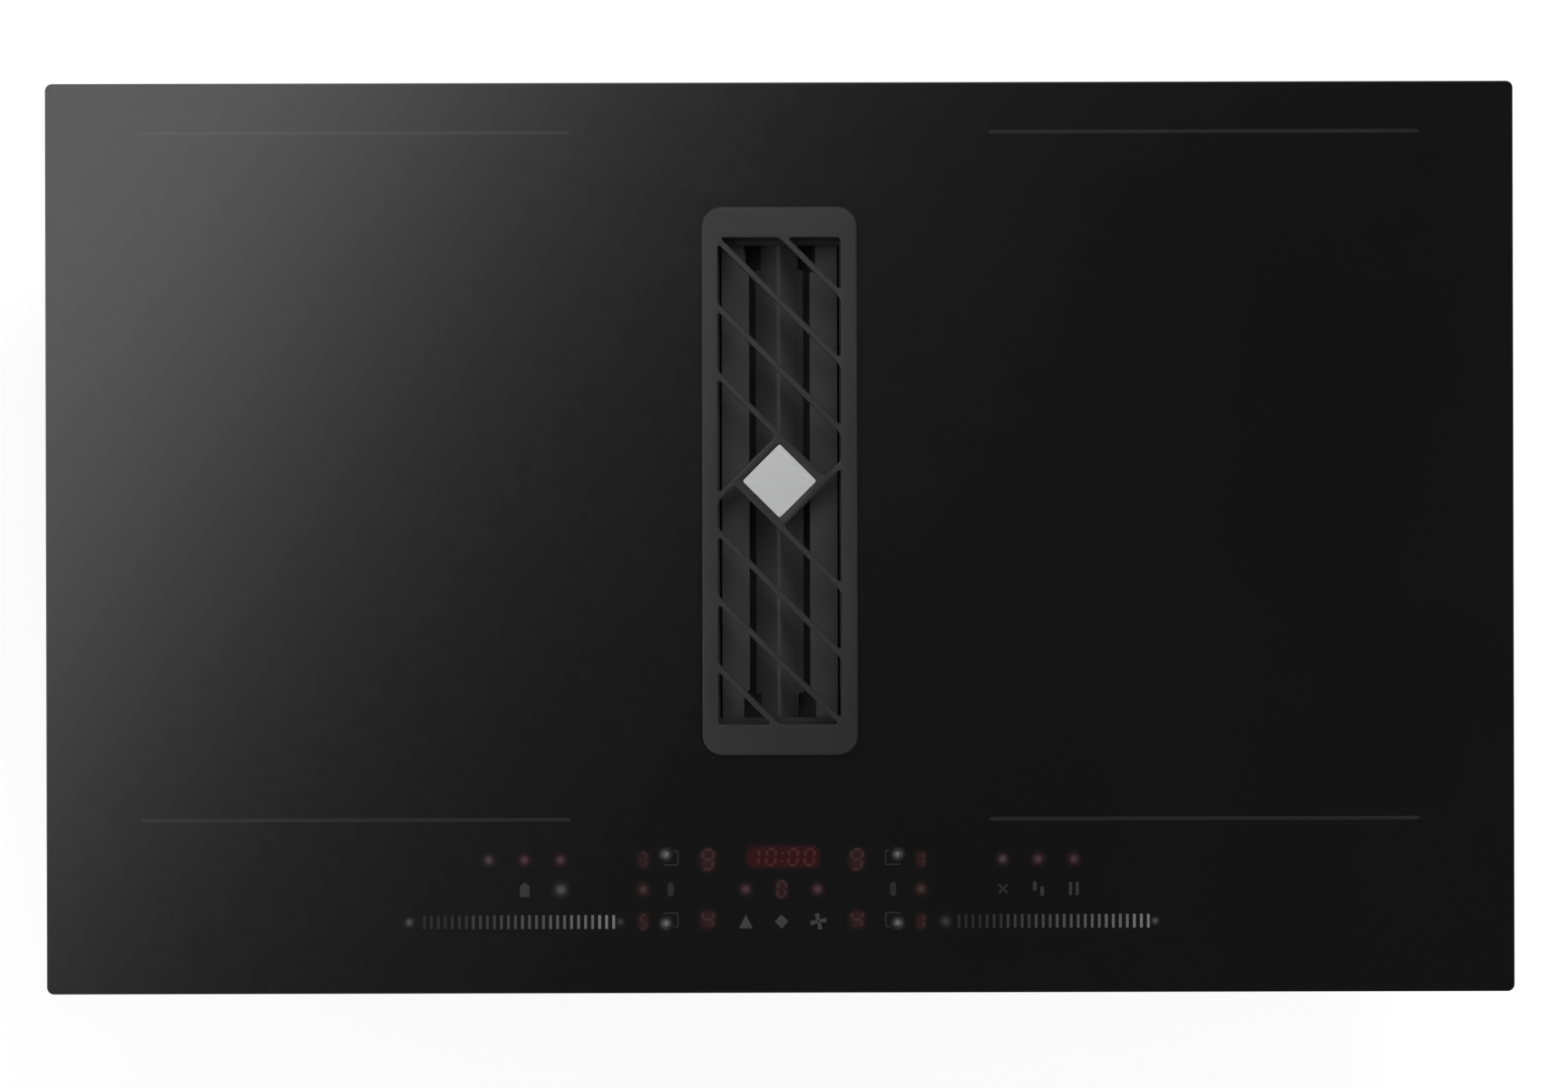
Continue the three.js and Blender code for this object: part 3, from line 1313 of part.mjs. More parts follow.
// The gland passes through the side wall of the box, with a hexagon outside and a lip inside.
function cableGland() {
  const sideX = TERMINAL_WIDTH / 2;
  const z = terminalBottom + TERMINAL_HEIGHT / 2;
  const lay = (radius, from, to, sides) =>
    solid(
      new THREE.CylinderGeometry(radius, radius, to - from, sides)
        .rotateZ(Math.PI / 2)
        .translate((from + to) / 2, 0, z),
    );
  const stem = lay(GLAND_BORE + 2, sideX - TERMINAL_WALL - 4, sideX + GLAND_LENGTH, 16);
  const nut = lay(GLAND_NUT, sideX + SEAT, sideX + SEAT + 6, 6);
  const dome = lay(GLAND_RADIUS, sideX + SEAT + 5, sideX + GLAND_LENGTH, 16);
  const bore = lay(GLAND_BORE, 0, sideX + GLAND_LENGTH + 1, 16);
  return cut(join(stem, nut, dome), bore);
}

function buildTerminal(cooktop) {
  const corner = new THREE.Group();
  corner.position.set(terminalX, terminalY, 0);
  cooktop.add(corner);
  piece(corner, "terminal_box", terminalBox(), materials.greyPlastic);
  piece(corner, "terminal_block", terminalBlock(), materials.whitePlastic, 0, 18);
  piece(corner, "terminal_cover", terminalCover(), materials.greyPlastic);
  piece(corner, "terminal_hinge_pin", hingeRod(PIN_RADIUS, TERMINAL_WIDTH), materials.steel);
  piece(corner, "cable_gland", cableGland(), materials.blackPlastic);
}

// ---------------------------------------------------------------- fixing clips
// A sprung strip on the pan's side wall that bows out to grip the edge of the cut-out.
function fixingClip() {
  const top = panTop - PAN_SHEET - CLIP_DROP;
  const reach = CLIP_REACH;
  const bow = top - CLIP_HEIGHT * CLIP_BOW;
  const outline = [
    [SEAT, top],
    [SEAT + CLIP_SHEET, top],
    [reach, bow],
    [SEAT + CLIP_SHEET, top - CLIP_HEIGHT],
    [SEAT, top - CLIP_HEIGHT],
    [reach - CLIP_SHEET, bow],
  ];
  return alongY(polygon(outline.reverse()), CLIP_WIDTH);
}

function buildClips(cooktop) {
  for (const [side, word] of [[-1, "left"], [1, "right"]])
    for (const [end, place] of [[-1, "front"], [1, "rear"]]) {
      const turn = new THREE.Group();
      turn.position.set((side * panWidth) / 2, end * (panDepth / 2 - CLIP_INSET), 0);
      turn.rotation.z = side < 0 ? Math.PI : 0;
      cooktop.add(turn);
      piece(turn, `fixing_clip_${place}_${word}`, fixingClip(), materials.steel);
    }
}

// ---------------------------------------------------------------- the whole cooktop
const cooktop = new THREE.Group();
piece(cooktop, "glass_top", glassTopPlate(), materials.glass);
piece(cooktop, "rim_seal", rimSeal(), materials.rubber);
piece(cooktop, "base_pan", basePan(), materials.steel);
buildVent(cooktop);
buildBay(cooktop, -1, "left");
buildBay(cooktop, 1, "right");
const mainsBoardY = shelfRear - MAINS_BOARD_SETBACK - MAINS_BOARD_LENGTH / 2;
piece(cooktop, "mains_filter_board", mainsBoard(), materials.board, bayX, mainsBoardY);
piece(cooktop, "control_carrier", controlCarrier(), materials.whitePlastic, 0, controlY);
piece(cooktop, "touch_board", touchBoard(), materials.board, 0, controlY);
buildBlower(cooktop);
buildTerminal(cooktop);
buildClips(cooktop);

export default cooktop;
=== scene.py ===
# Looks for the built-in induction cooktop with a downdraft vent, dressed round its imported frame.
# Lengths are millimetres until a form is made; made objects are in metres, in the frame of the CAD.
import json
import math

import bmesh
import bpy
from mathutils import Matrix, Vector
from mathutils.geometry import tessellate_polygon


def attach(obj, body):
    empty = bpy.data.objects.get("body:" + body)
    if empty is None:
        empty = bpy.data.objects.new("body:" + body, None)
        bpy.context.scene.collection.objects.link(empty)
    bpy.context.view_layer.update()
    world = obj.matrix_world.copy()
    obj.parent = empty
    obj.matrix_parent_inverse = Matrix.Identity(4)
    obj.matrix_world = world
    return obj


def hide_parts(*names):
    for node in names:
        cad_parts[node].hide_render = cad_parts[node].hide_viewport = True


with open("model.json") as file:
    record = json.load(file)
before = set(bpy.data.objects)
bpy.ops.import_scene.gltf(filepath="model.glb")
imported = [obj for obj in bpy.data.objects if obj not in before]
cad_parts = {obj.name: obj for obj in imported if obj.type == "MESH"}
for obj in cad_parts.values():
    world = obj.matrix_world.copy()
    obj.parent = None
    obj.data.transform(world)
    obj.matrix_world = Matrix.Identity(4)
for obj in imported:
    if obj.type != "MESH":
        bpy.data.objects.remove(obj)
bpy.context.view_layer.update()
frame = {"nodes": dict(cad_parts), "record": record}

MM = 0.001
NODES = frame["nodes"]
BODY_OF = {n: b for b, names in frame["record"]["behaviour"]["bodies"].items() for n in names}

# ---------------------------------------------------------------- sizes that the looks share
GLASS = (830.0, 515.0)
GLASS_TOP = 204.0
GLASS_BOTTOM = 200.0
VENT_Y = 32.0
VENT = (82.0, 304.0)
GRILLE = (88.0, 310.0)
GRILLE_TOP = 207.0
SKIRT = (76.4, 298.4)
WINDOW = (69.3, 275.0)
BAR_WIDTH = 3.4
BAR_PITCH = 38.2
RING_REACH = 25.4
INLAY_REACH = 21.1
INLAY_GAP = 0.6
PAN = (796.0, 481.0)
PAN_BOTTOM = 142.0
PAN_TOP = 199.7
PAN_SHEET = 1.0
PAN_FLANGE = 3.5
DUCT = (87.6, 309.6)
CABLE_HOLE = (237.0, 168.0)
FAN = (340.0, -110.0)
BAY = (240.0, 35.0)
COIL_STEP = 95.0
COIL = (208.0, 172.0)
COIL_EYE = (64.0, 40.0)
COIL_LEVELS = (191.9, 196.4)
BLOWER = (-172.2774, -5.0)
SCROLL = (106.0, 158.0)
TONGUE = math.radians(75)
HOUSING_WALL = 3.0
SUMP = (101.6, 323.6)
SPIGOT = (-221.3, 250.3, 47.5)
SPIGOT_SIZE = (222.0, 89.0)
TERMINAL = (262.0, 168.0)
TERMINAL_SIZE = (120.0, 84.0)
TERMINAL_BOTTOM = 97.7
FILTER_WALLS = (35.2, 146.2)
HEM_END = 118.7  # half the length of the wider flat tops of the side baffles
BOARD_THICK = 1.6
BOARD_TOP = 8.6  # above the foot of its pillars
HARD_EDGE = math.radians(40)  # where smooth shading stops


def in_scene(name, data):
    made = bpy.data.objects.new(name, data)
    bpy.context.scene.collection.objects.link(made)
    return made


# ---------------------------------------------------------------- camera
CAMERA_OFFSET = (0.00238, -0.0036)  # metres off the middle of the glass
CAMERA_RISE = 2.4625  # metres above the glass
CAMERA_TWIST = math.radians(-0.14)


def add_camera():
    """Straight down over the glass, a hair off its middle, as the photograph was framed."""
    data = bpy.data.cameras.new("camera")
    data.lens = 100
    data.sensor_width = 36
    data.clip_start = 0.05
    data.clip_end = 60
    camera = in_scene("camera", data)
    camera.location = (*CAMERA_OFFSET, GLASS_TOP * MM + CAMERA_RISE)
    camera.rotation_euler = (0, 0, CAMERA_TWIST)
    bpy.context.scene.camera = camera


add_camera()


# ---------------------------------------------------------------- node trees
class Tree:
    """A node tree, filled by short calls."""

    def __init__(self, owner):
        owner.use_nodes = True
        self.nodes = owner.node_tree.nodes
        self.links = owner.node_tree.links

    def add(self, kind, inputs=None, **settings):
        made = self.nodes.new("ShaderNode" + kind)
        for key, value in settings.items():
            setattr(made, key, value)
        for key, value in (inputs or {}).items():
            self.feed(made.inputs[key], value)
        return made

    def feed(self, socket, value):
        if isinstance(value, bpy.types.NodeSocket):
            self.links.new(value, socket)
        else:
            socket.default_value = value

    def maths(self, operation, first, second=0.0):
        return self.add("Math", {0: first, 1: second}, operation=operation).outputs[0]

    def blend(self, share, first, second):
        """One shader fading into another."""
        return self.add("MixShader", {0: share, 1: first, 2: second}).outputs[0]

    def span(self, value, low, high, start=0.3, end=0.7):
        made = self.add(
            "MapRange",
            {"Value": value, "From Min": start, "From Max": end, "To Min": low, "To Max": high},
        )
        return made.outputs["Result"]

    def ramp(self, value, *stops):
        made = self.add("ValToRGB", {"Fac": value})
        elements = made.color_ramp.elements
        while len(elements) < len(stops):
            elements.new(0.5)
        for element, (position, colour) in zip(elements, stops):
            element.position = position
            element.color = (*colour, 1)
        return made.outputs["Color"]


class Paint(Tree):
    """A material's node tree."""

    def __init__(self, name):
        self.material = bpy.data.materials.new(name)
        super().__init__(self.material)
        self.surface = self.nodes["Principled BSDF"]
        self.coords = self.add("TexCoord").outputs["Object"]

    def stretched(self, scale):
        return self.add("Mapping", {"Vector": self.coords, "Scale": scale}).outputs["Vector"]

    def noise(self, scale, detail=3.0, stretch=(1, 1, 1), rough=0.5):
        vector = self.stretched(stretch)
        made = self.add(
            "TexNoise", {"Vector": vector, "Scale": scale, "Detail": detail, "Roughness": rough}
        )
        return made.outputs["Fac"]

    def mix(self, share, first, second):
        made = self.add("Mix", data_type="RGBA")
        self.feed(made.inputs["Factor"], share)
        self.feed(made.inputs["A"], first)
        self.feed(made.inputs["B"], second)
        return made.outputs["Result"]

    def bump(self, height, strength, distance, normal=None):
        inputs = {"Height": height, "Strength": strength, "Distance": distance}
        if normal is not None:
            inputs["Normal"] = normal
        return self.add("Bump", inputs).outputs["Normal"]

    def edges(self):
        """1 on worn convex edges, 0 on flats."""
        pointed = self.add("NewGeometry").outputs["Pointiness"]
        return self.span(pointed, 0.0, 1.0, 0.518, 0.56)

    def polish(self):
        """The gloss of the glass, which the marks on it share."""
        return self.span(self.noise(160, 4), 0.085, 0.115)

    def set(self, **values):
        for key, value in values.items():
            self.feed(self.surface.inputs[key.replace("_", " ")], value)


def shade(colour, factor):
    return tuple(min(1.0, c * factor) for c in colour[:3])


def grey(value):
    return (value, value, value)


def moulded(name, colour, rough, grain=700, relief=0.00006, spread=0.16, wear=1.5):
    """Moulded plastic or coated metal: fine grain, slow tone shifts, rubbed edges."""
    tree = Paint(name)
    slow = tree.noise(9, 4)
    fine = tree.noise(grain, 2)
    body = tree.ramp(slow, (0.3, shade(colour, 1 - spread)), (0.7, shade(colour, 1 + spread)))
    rubbed = tree.mix(tree.edges(), body, (*shade(colour, wear), 1))
    tree.set(
        Base_Color=rubbed,
        Roughness=tree.span(slow, rough - 0.06, rough + 0.06),
        Normal=tree.bump(fine, 0.5, relief),
    )
    return tree.material


def brushed(name, colour, rough, along="y", spread=0.1, metal=1.0, shine=0.5):
    """Metal with fine brush lines along one axis."""
    stretch = {"x": (0.02, 1, 1), "y": (1, 0.02, 1), "z": (1, 1, 0.02)}[along]
    tree = Paint(name)
    lines = tree.noise(1040, 3, stretch, 0.65)
    slow = tree.noise(14, 3)
    body = tree.ramp(lines, (0.25, shade(colour, 1 - spread)), (0.75, shade(colour, 1 + spread)))
    worn = tree.mix(tree.edges(), body, (*shade(colour, 1.25), 1))
    tree.set(
        Base_Color=worn,
        Metallic=metal,
        Specular_IOR_Level=shine,
        Roughness=tree.span(slow, rough - 0.05, rough + 0.07),
        Normal=tree.bump(lines, 0.35, 0.00002),
    )
    return tree.material


def glass_material():
    tree = Paint("black_glass")
    slow = tree.noise(4, 3)
    tree.set(
        Base_Color=tree.ramp(slow, (0.2, grey(0.0037)), (0.8, grey(0.0055))),
        Roughness=tree.polish(),
        IOR=1.5,
        Normal=tree.bump(slow, 0.05, 0.00004),
    )
    return tree.material


def galvanised(name, colour=(0.47, 0.48, 0.49)):
    """Zinc-coated sheet: a faint crystal spangle under cloudy stains and fine rolling lines."""
    tree = Paint(name)
    warp = tree.noise(90, 2)
    moved = tree.mix(0.03, tree.coords, warp)
    cells = tree.add("TexVoronoi", {"Vector": moved, "Scale": 150.0}).outputs["Color"]
    value = tree.add("RGBToBW", {"Color": cells}).outputs["Val"]
    cloud = tree.noise(11, 4)
    scratches = tree.noise(900, 2, (1, 0.05, 1))
    body = tree.ramp(value, (0.1, shade(colour, 0.92)), (0.5, colour), (0.9, shade(colour, 1.09)))
    stained = tree.mix(tree.span(cloud, 0.0, 0.45), body, (*shade(colour, 0.82), 1))
    tree.set(
        Base_Color=stained,
        Metallic=0.85,
        Roughness=tree.span(value, 0.36, 0.48, 0.1, 0.9),
        Normal=tree.bump(scratches, 0.25, 0.00002, tree.bump(value, 0.12, 0.00004)),
    )
    return tree.material


def foam_material():
    tree = Paint("seal_foam")
    cells = tree.add("TexVoronoi", {"Vector": tree.coords, "Scale": 1500.0}).outputs["Distance"]
    tone = tree.noise(40, 3)
    tree.set(
        Base_Color=tree.ramp(tone, (0.3, grey(0.006)), (0.7, grey(0.014))),
        Roughness=0.95,
        Normal=tree.bump(cells, 0.9, 0.0002),
    )
    return tree.material


def litz_material():
    """Enamelled copper strands, twisted."""
    tree = Paint("litz_copper")
    twist = tree.add(
        "TexWave",
        {"Vector": tree.stretched((1, 1, 0.6)), "Scale": 260.0, "Distortion": 1.2, "Detail": 2.0},
        bands_direction="DIAGONAL",
    ).outputs["Fac"]
    tone = tree.noise(30, 4)
    body = tree.ramp(tone, (0.3, (0.30, 0.12, 0.045)), (0.7, (0.46, 0.20, 0.08)))
    tree.set(
        Base_Color=tree.mix(tree.span(twist, 0.0, 0.5, 0.0, 1.0), body, (0.12, 0.04, 0.015, 1)),
        Metallic=0.7,
        Roughness=tree.span(tone, 0.32, 0.48),
        Normal=tree.bump(twist, 0.8, 0.0003),
    )
    return tree.material


def board_material():
    """Green solder mask over patches of tracks that run square to the board, with solder dots."""
    tree = Paint("solder_mask")
    patches = tree.add("TexVoronoi", {"Vector": tree.coords, "Scale": 52.0}, distance="CHEBYCHEV")
    pick = tree.add("RGBToBW", {"Color": patches.outputs["Color"]}).outputs["Val"]
    along = []
    for way in ("X", "Y"):
        wave = tree.add("TexWave", {"Vector": tree.coords, "Scale": 130.0}, bands_direction=way)
        along.append(wave.outputs["Fac"])
    lines = tree.span(tree.mix(tree.span(pick, 0.0, 1.0, 0.49, 0.50), *along), 0.0, 1.0, 0.60, 0.72)
    dots = tree.add("TexVoronoi", {"Vector": tree.coords, "Scale": 290.0}).outputs["Distance"]
    solder = tree.span(dots, 0.8, 0.0, 0.13, 0.16)
    body = tree.mix(lines, (0.006, 0.055, 0.026, 1), (0.014, 0.105, 0.050, 1))
    tree.set(
        Base_Color=tree.mix(solder, body, (0.50, 0.49, 0.46, 1)),
        Roughness=tree.span(solder, 0.32, 0.45, 0.0, 1.0),
        Normal=tree.bump(lines, 0.35, 0.00006, tree.bump(solder, 0.4, 0.0002)),
    )
    return tree.material


def felt_material():
    tree = Paint("mica_felt")
    fibres = tree.noise(900, 5, (1, 0.25, 1), 0.7)
    flakes = tree.add("TexVoronoi", {"Vector": tree.coords, "Scale": 420.0}).outputs["Color"]
    value = tree.add("RGBToBW", {"Color": flakes}).outputs["Val"]
    body = tree.ramp(fibres, (0.25, (0.60, 0.57, 0.49)), (0.75, (0.76, 0.74, 0.67)))
    tree.set(
        Base_Color=tree.mix(tree.span(value, 0.0, 0.5, 0.75, 0.95), body, (0.83, 0.82, 0.78, 1)),
        Roughness=tree.span(value, 0.55, 0.9),
        Sheen_Weight=0.2,
        Normal=tree.bump(fibres, 0.7, 0.00025),
    )
    return tree.material


def print_material(name, colour):
    """Pale ceramic print fired into the glass, a little uneven, as glossy as the glass."""
    tree = Paint(name)
    grain = tree.noise(1300, 2)
    tree.set(
        Base_Color=tree.ramp(grain, (0.3, shade(colour, 0.86)), (0.7, shade(colour, 1.12))),
        Roughness=tree.polish(),
    )
    return tree.material


UNLIT = (0.005, 0.005, 0.005, 1)  # a mark's own colour, without its lamp


def lit_material(name, colour):
    """A mark lit from behind through the dark glass."""
    tree = Paint(name)
    grain = tree.noise(700, 2)
    tree.set(
        Base_Color=UNLIT,
        Roughness=tree.polish(),
        Emission_Color=tree.ramp(grain, (0.3, shade(colour, 0.86)), (0.7, shade(colour, 1.12))),
        Emission_Strength=1.0,
    )
    return tree.material


def glow_material(name, middle, rim):
    """A lamp seen through dark glass. The mesh attribute 'glow' is 1 at the lamp, 0 at the rim."""
    tree = Paint(name)
    glow = tree.add("Attribute", attribute_name="glow").outputs["Fac"]
    tree.set(
        Base_Color=UNLIT,
        Roughness=tree.polish(),
        Emission_Color=tree.ramp(glow, (0.0, (0, 0, 0)), (0.35, rim), (1.0, middle)),
        Emission_Strength=1.0,
    )
    return tree.material


MATERIALS = {
    "glass": glass_material(),
    "seal": foam_material(),
    "grille": moulded("grille_coat", grey(0.0095), 0.31, 1500, 0.00004, 0.1, 1.6),
    "inlay": brushed("inlay_silver", (0.575, 0.575, 0.58), 0.42, "x", 0.05, 0.85),
    "filter": brushed("filter_anodised", (0.0235, 0.0235, 0.0245), 0.47, "y", 0.2, 0.0, 0.33),
    "filter_rim": brushed("filter_rim_anodised", (0.015, 0.015, 0.016), 0.5, "x", 0.2, 0.0, 0.3),
    "tray": brushed("tray_steel", (0.50, 0.50, 0.51), 0.33, "x"),
    "sheet_steel": galvanised("pan_galvanised"),
    "motor": brushed("motor_plated", (0.42, 0.42, 0.43), 0.38, "z", 0.08),
    "aluminium": brushed("mill_aluminium", (0.56, 0.57, 0.59), 0.36, "x", 0.08),
    "black_plastic": moulded(
        "black_moulded", (0.0135, 0.0140, 0.0152), 0.46, 1100, 0.00009, 0.2, 2.2
    ),
    "grey_plastic": moulded("grey_moulded", (0.085, 0.092, 0.098), 0.48, 1000, 0.00009),
    "white_plastic": moulded("white_moulded", (0.62, 0.62, 0.58), 0.42, 900, 0.00006, 0.05, 1.1),
    "copper": litz_material(),
    "insulation": felt_material(),
    "board": board_material(),
    "sleeve": moulded("capacitor_sleeve", (0.012, 0.020, 0.050), 0.3, 900, 0.00003, 0.1, 1.3),
    "zinc": brushed("zinc_screw", (0.55, 0.55, 0.57), 0.3, "x", 0.1),
    "print": print_material("zone_print", grey(0.017)),
}


# ---------------------------------------------------------------- outlines
def rounded_rect(width, length, corner, x=0.0, y=0.0, steps=8):
    """Anticlockwise points, with the same count whatever the corner."""
    corner = max(0.05, min(corner, width / 2 - 0.01, length / 2 - 0.01))
    points = []
    for quarter, (sx, sy) in enumerate([(1, 1), (-1, 1), (-1, -1), (1, -1)]):
        cx = x + sx * (width / 2 - corner)
        cy = y + sy * (length / 2 - corner)
        for i in range(steps + 1):
            angle = (quarter + i / steps) * math.pi / 2
            points.append((cx + corner * math.cos(angle), cy + corner * math.sin(angle)))
    return points


def circle(radius, x=0.0, y=0.0, count=48):
    turn = 2 * math.pi / count
    return [(x + radius * math.cos(i * turn), y + radius * math.sin(i * turn)) for i in range(count)]


def clipped(corners, limit):
    """The part of a convex outline where a*x + b*y < c."""
    a, b, c = limit
    kept = []
    for i, (x, y) in enumerate(corners):
        nx, ny = corners[(i + 1) % len(corners)]
        here, there = a * x + b * y - c, a * nx + b * ny - c
        if here <= 0:
            kept.append((x, y))
        if here * there < 0:
            share = here / (here - there)
            kept.append((x + (nx - x) * share, y + (ny - y) * share))
    return kept


def softened(corners, reach, steps=6):
    """A convex outline with each corner turned into a curve that starts reach before it."""
    points = []
    count = len(corners)
    for i, corner in enumerate(corners):
        here = Vector(corner)
        before, after = Vector(corners[i - 1]), Vector(corners[(i + 1) % count])
        first = here + (before - here) * min(reach / (before - here).length, 0.45)
        last = here + (after - here) * min(reach / (after - here).length, 0.45)
        for k in range(steps + 1):
            t = k / steps
            point = first * (1 - t) ** 2 + here * 2 * t * (1 - t) + last * t * t
            points.append((point.x, point.y))
    return points


def grown(points, amount):
    """An outline moved outwards along its normals."""
    moved = []
    count = len(points)
    area = sum(
        points[i - 1][0] * points[i][1] - points[i][0] * points[i - 1][1] for i in range(count)
    )
    turn = 1 if area > 0 else -1
    for i in range(count):
        x0, y0 = points[i - 1]
        x1, y1 = points[i]
        x2, y2 = points[(i + 1) % count]
        first = Vector((y1 - y0, x0 - x1)).normalized()
        last = Vector((y2 - y1, x1 - x2)).normalized()
        normal = (first + last).normalized()
        stretch = amount * turn / max(0.5, normal.dot(first))
        moved.append((x1 + normal.x * stretch, y1 + normal.y * stretch))
    return moved


def grille_windows():
    """The openings between the bars, which fall to the right at 45 degrees, about the vent."""
    half_x, half_y = WINDOW[0] / 2, WINDOW[1] / 2
    whole = [(-half_x, -half_y), (half_x, -half_y), (half_x, half_y), (-half_x, half_y)]
    half_bar = BAR_WIDTH / 2 * math.sqrt(2)
    windows = []
    for i in range(math.ceil((half_x + half_y - RING_REACH) / BAR_PITCH)):
        low = RING_REACH + i * BAR_PITCH + half_bar
        limits = [(-1, -1, -low), (1, 1, low + BAR_PITCH - 2 * half_bar)]
        if i == 0:
            limits.append((1, -1, RING_REACH - half_bar))
        corners = whole
        for limit in limits:
            corners = clipped(corners, limit)
        windows.append(corners)
    beside = whole
    for limit in [(1, 1, RING_REACH - half_bar), (1, -1, -RING_REACH - half_bar)]:
        beside = clipped(beside, limit)
    windows.append(beside)
    windows = [w for w in windows if len(w) > 2]
    windows += [[(-x, -y) for x, y in w] for w in windows]
    return [[(x, y + VENT_Y) for x, y in softened(w, 2.5)] for w in windows]


# ---------------------------------------------------------------- forms
class Form:
    """A mesh put together from rings of points, bands between rings, and flat caps."""

    def __init__(self):
        self.points = []
        self.faces = []

    def ring(self, outline, level):
        return self.raw([(x, y, level) for x, y in outline])

    def raw(self, points):
        start = len(self.points)
        self.points += [Vector(p) for p in points]
        return list(range(start, len(self.points)))

    def face(self, indices):
        self.faces.append(tuple(indices))

    def band(self, first, last):
        count = len(first)
        for i in range(count):
            k = (i + 1) % count
            self.face((first[i], first[k], last[k], last[i]))

    def bands(self, rings):
        for first, last in zip(rings, rings[1:]):
            self.band(first, last)

    def hoop(self, rings):
        """Bands that come back to the first ring, and so need no caps."""
        self.bands([*rings, rings[0]])

    def closed(self, rings):
        """Bands with a cap at each end."""
        self.bands(rings)
        self.cap(rings[0])
        self.cap(rings[-1])

    def cap(self, outer, holes=()):
        loops = [outer, *holes]
        flat = [index for loop in loops for index in loop]
        if not holes and len(outer) <= 8:
            self.face(outer)
            return
        for triangle in tessellate_polygon([[self.points[i] for i in loop] for loop in loops]):
            self.face([flat[i] for i in triangle])

    def bar(self, start, end, width, bottom, top, bevel=0.4):
        """A straight bar between two points in plan, with bevelled upper edges."""
        a, b = Vector(start), Vector(end)
        along = (b - a).normalized()
        across = Vector((-along.y, along.x)) * (width / 2)
        outline = [a - across, b - across, b + across, a + across]
        inner = grown([(p.x, p.y) for p in outline], -bevel)
        low = self.ring([(p.x, p.y) for p in outline], bottom)
        mid = self.ring([(p.x, p.y) for p in outline], top - math.copysign(bevel, top - bottom))
        high = self.ring(inner, top)
        self.closed([low, mid, high])

    def slab(self, outline, bottom, top, bevel=0.3, steps=3, holes=(), both=False):
        """A plate with rounded upper edges, and lower ones too where both is set."""
        def profile(base, sign):
            arc = [math.pi / 2 * k / steps for k in range(steps + 1)]
            stops = [(0.0, bottom)]
            if both:
                stops = [
                    (bevel * (1 - math.sin(a)), bottom + bevel * (1 - math.cos(a))) for a in arc
                ]
            stops += [(bevel * (1 - math.cos(a)), top - bevel * (1 - math.sin(a))) for a in arc]
            return [self.ring(grown(base, -inset * sign), level) for inset, level in stops]

        outer = profile(outline, 1)
        inner = [profile(h, -1) for h in holes]
        self.bands(outer)
        for rings in inner:
            self.bands(rings)
        self.cap(outer[0], [r[0] for r in inner])
        self.cap(outer[-1], [r[-1] for r in inner])

    def turned(self, profile, x=0.0, y=0.0, count=32):
        """A closed profile of (radius, height) turned about an upright axis."""
        rings = [self.ring(circle(max(r, 0.001), x, y, count), z) for r, z in profile]
        self.hoop(rings)

    def turn(self, matrix):
        self.points = [matrix @ point for point in self.points]

    def rail(self, path, inside, outside, bottom, top, bevel=0.5):
        """A strip that follows an open path in plan, on its right side."""
        rings = []
        for i, point in enumerate(path):
            here = Vector(point)
            before = (here - Vector(path[max(i - 1, 0)])).normalized()
            after = (Vector(path[min(i + 1, len(path) - 1)]) - here).normalized()
            along = (before + after).normalized()
            side = Vector((along.y, -along.x))
            stretch = 1 / max(0.6, along.dot(after if i + 1 < len(path) else along))
            rings.append(self.raw([
                (*(here + side * offset * stretch), level) for offset, level in [
                    (inside, bottom), (outside - bevel, bottom), (outside, bottom + bevel),
                    (outside, top - bevel), (outside - bevel, top), (inside, top),
                ]
            ]))
        self.closed(rings)

    def tube(self, path, radius, sides=8):
        """A round wire along an open path of points."""
        rings = []
        for i, point in enumerate(path):
            here = Vector(point)
            along = (Vector(path[min(i + 1, len(path) - 1)]) - Vector(path[max(i - 1, 0)])).normalized()
            side = along.cross(Vector((0, 0, 1))).normalized()
            up = side.cross(along).normalized()
            angles = [2 * math.pi * k / sides for k in range(sides)]
            rings.append(self.raw([
                here + side * radius * math.cos(a) + up * radius * math.sin(a) for a in angles
            ]))
        self.closed(rings)

    def mesh(self, name, material):
        """The form in metres, with its faces turned outwards."""
        mesh = bpy.data.meshes.new(name)
        mesh.from_pydata([p * MM for p in self.points], [], self.faces)
        mesh.materials.append(material)
        work = bmesh.new()
        work.from_mesh(mesh)
        bmesh.ops.remove_doubles(work, verts=work.verts, dist=1e-7)
        bmesh.ops.recalc_face_normals(work, faces=work.faces)
        work.to_mesh(mesh)
        work.free()
        return mesh

    def make(self, name, material, weight=True):
        return smoothed(in_scene(name, self.mesh(name, material)), weight)


def smoothed(thing, weight=True):
    """Smooth shading that stops at hard edges, with flat faces kept flat."""
    mesh = thing.data
    mesh.polygons.foreach_set("use_smooth", [True] * len(mesh.polygons))
    mesh.set_sharp_from_angle(angle=HARD_EDGE)
    if weight:
        even = thing.modifiers.new("even", "WEIGHTED_NORMAL")
        even.keep_sharp = True
        even.weight = 100
        settle(thing)
    return thing


def settle(thing):
    """Modifiers go into the mesh."""
    bpy.context.view_layer.update()
    graph = bpy.context.evaluated_depsgraph_get()
    mesh = bpy.data.meshes.new_from_object(thing.evaluated_get(graph))
    thing.modifiers.clear()
    old = thing.data
    thing.data = mesh
    bpy.data.meshes.remove(old)
    mesh.name = thing.name


def place(thing, body, slot, *nodes):
    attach(thing, body)
    if nodes:
        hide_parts(*nodes)
    return thing


def add_form(form, name, slot, body="chassis", look=None, weight=True):
    """A form that no CAD solid stands for."""
    return place(form.make(name, MATERIALS[look or slot], weight), body, slot)


def stand_in(form, node, slot):
    """A form shown in place of a CAD solid."""
    place(form.make("dressed_" + node, MATERIALS[slot]), BODY_OF[node], slot, node)


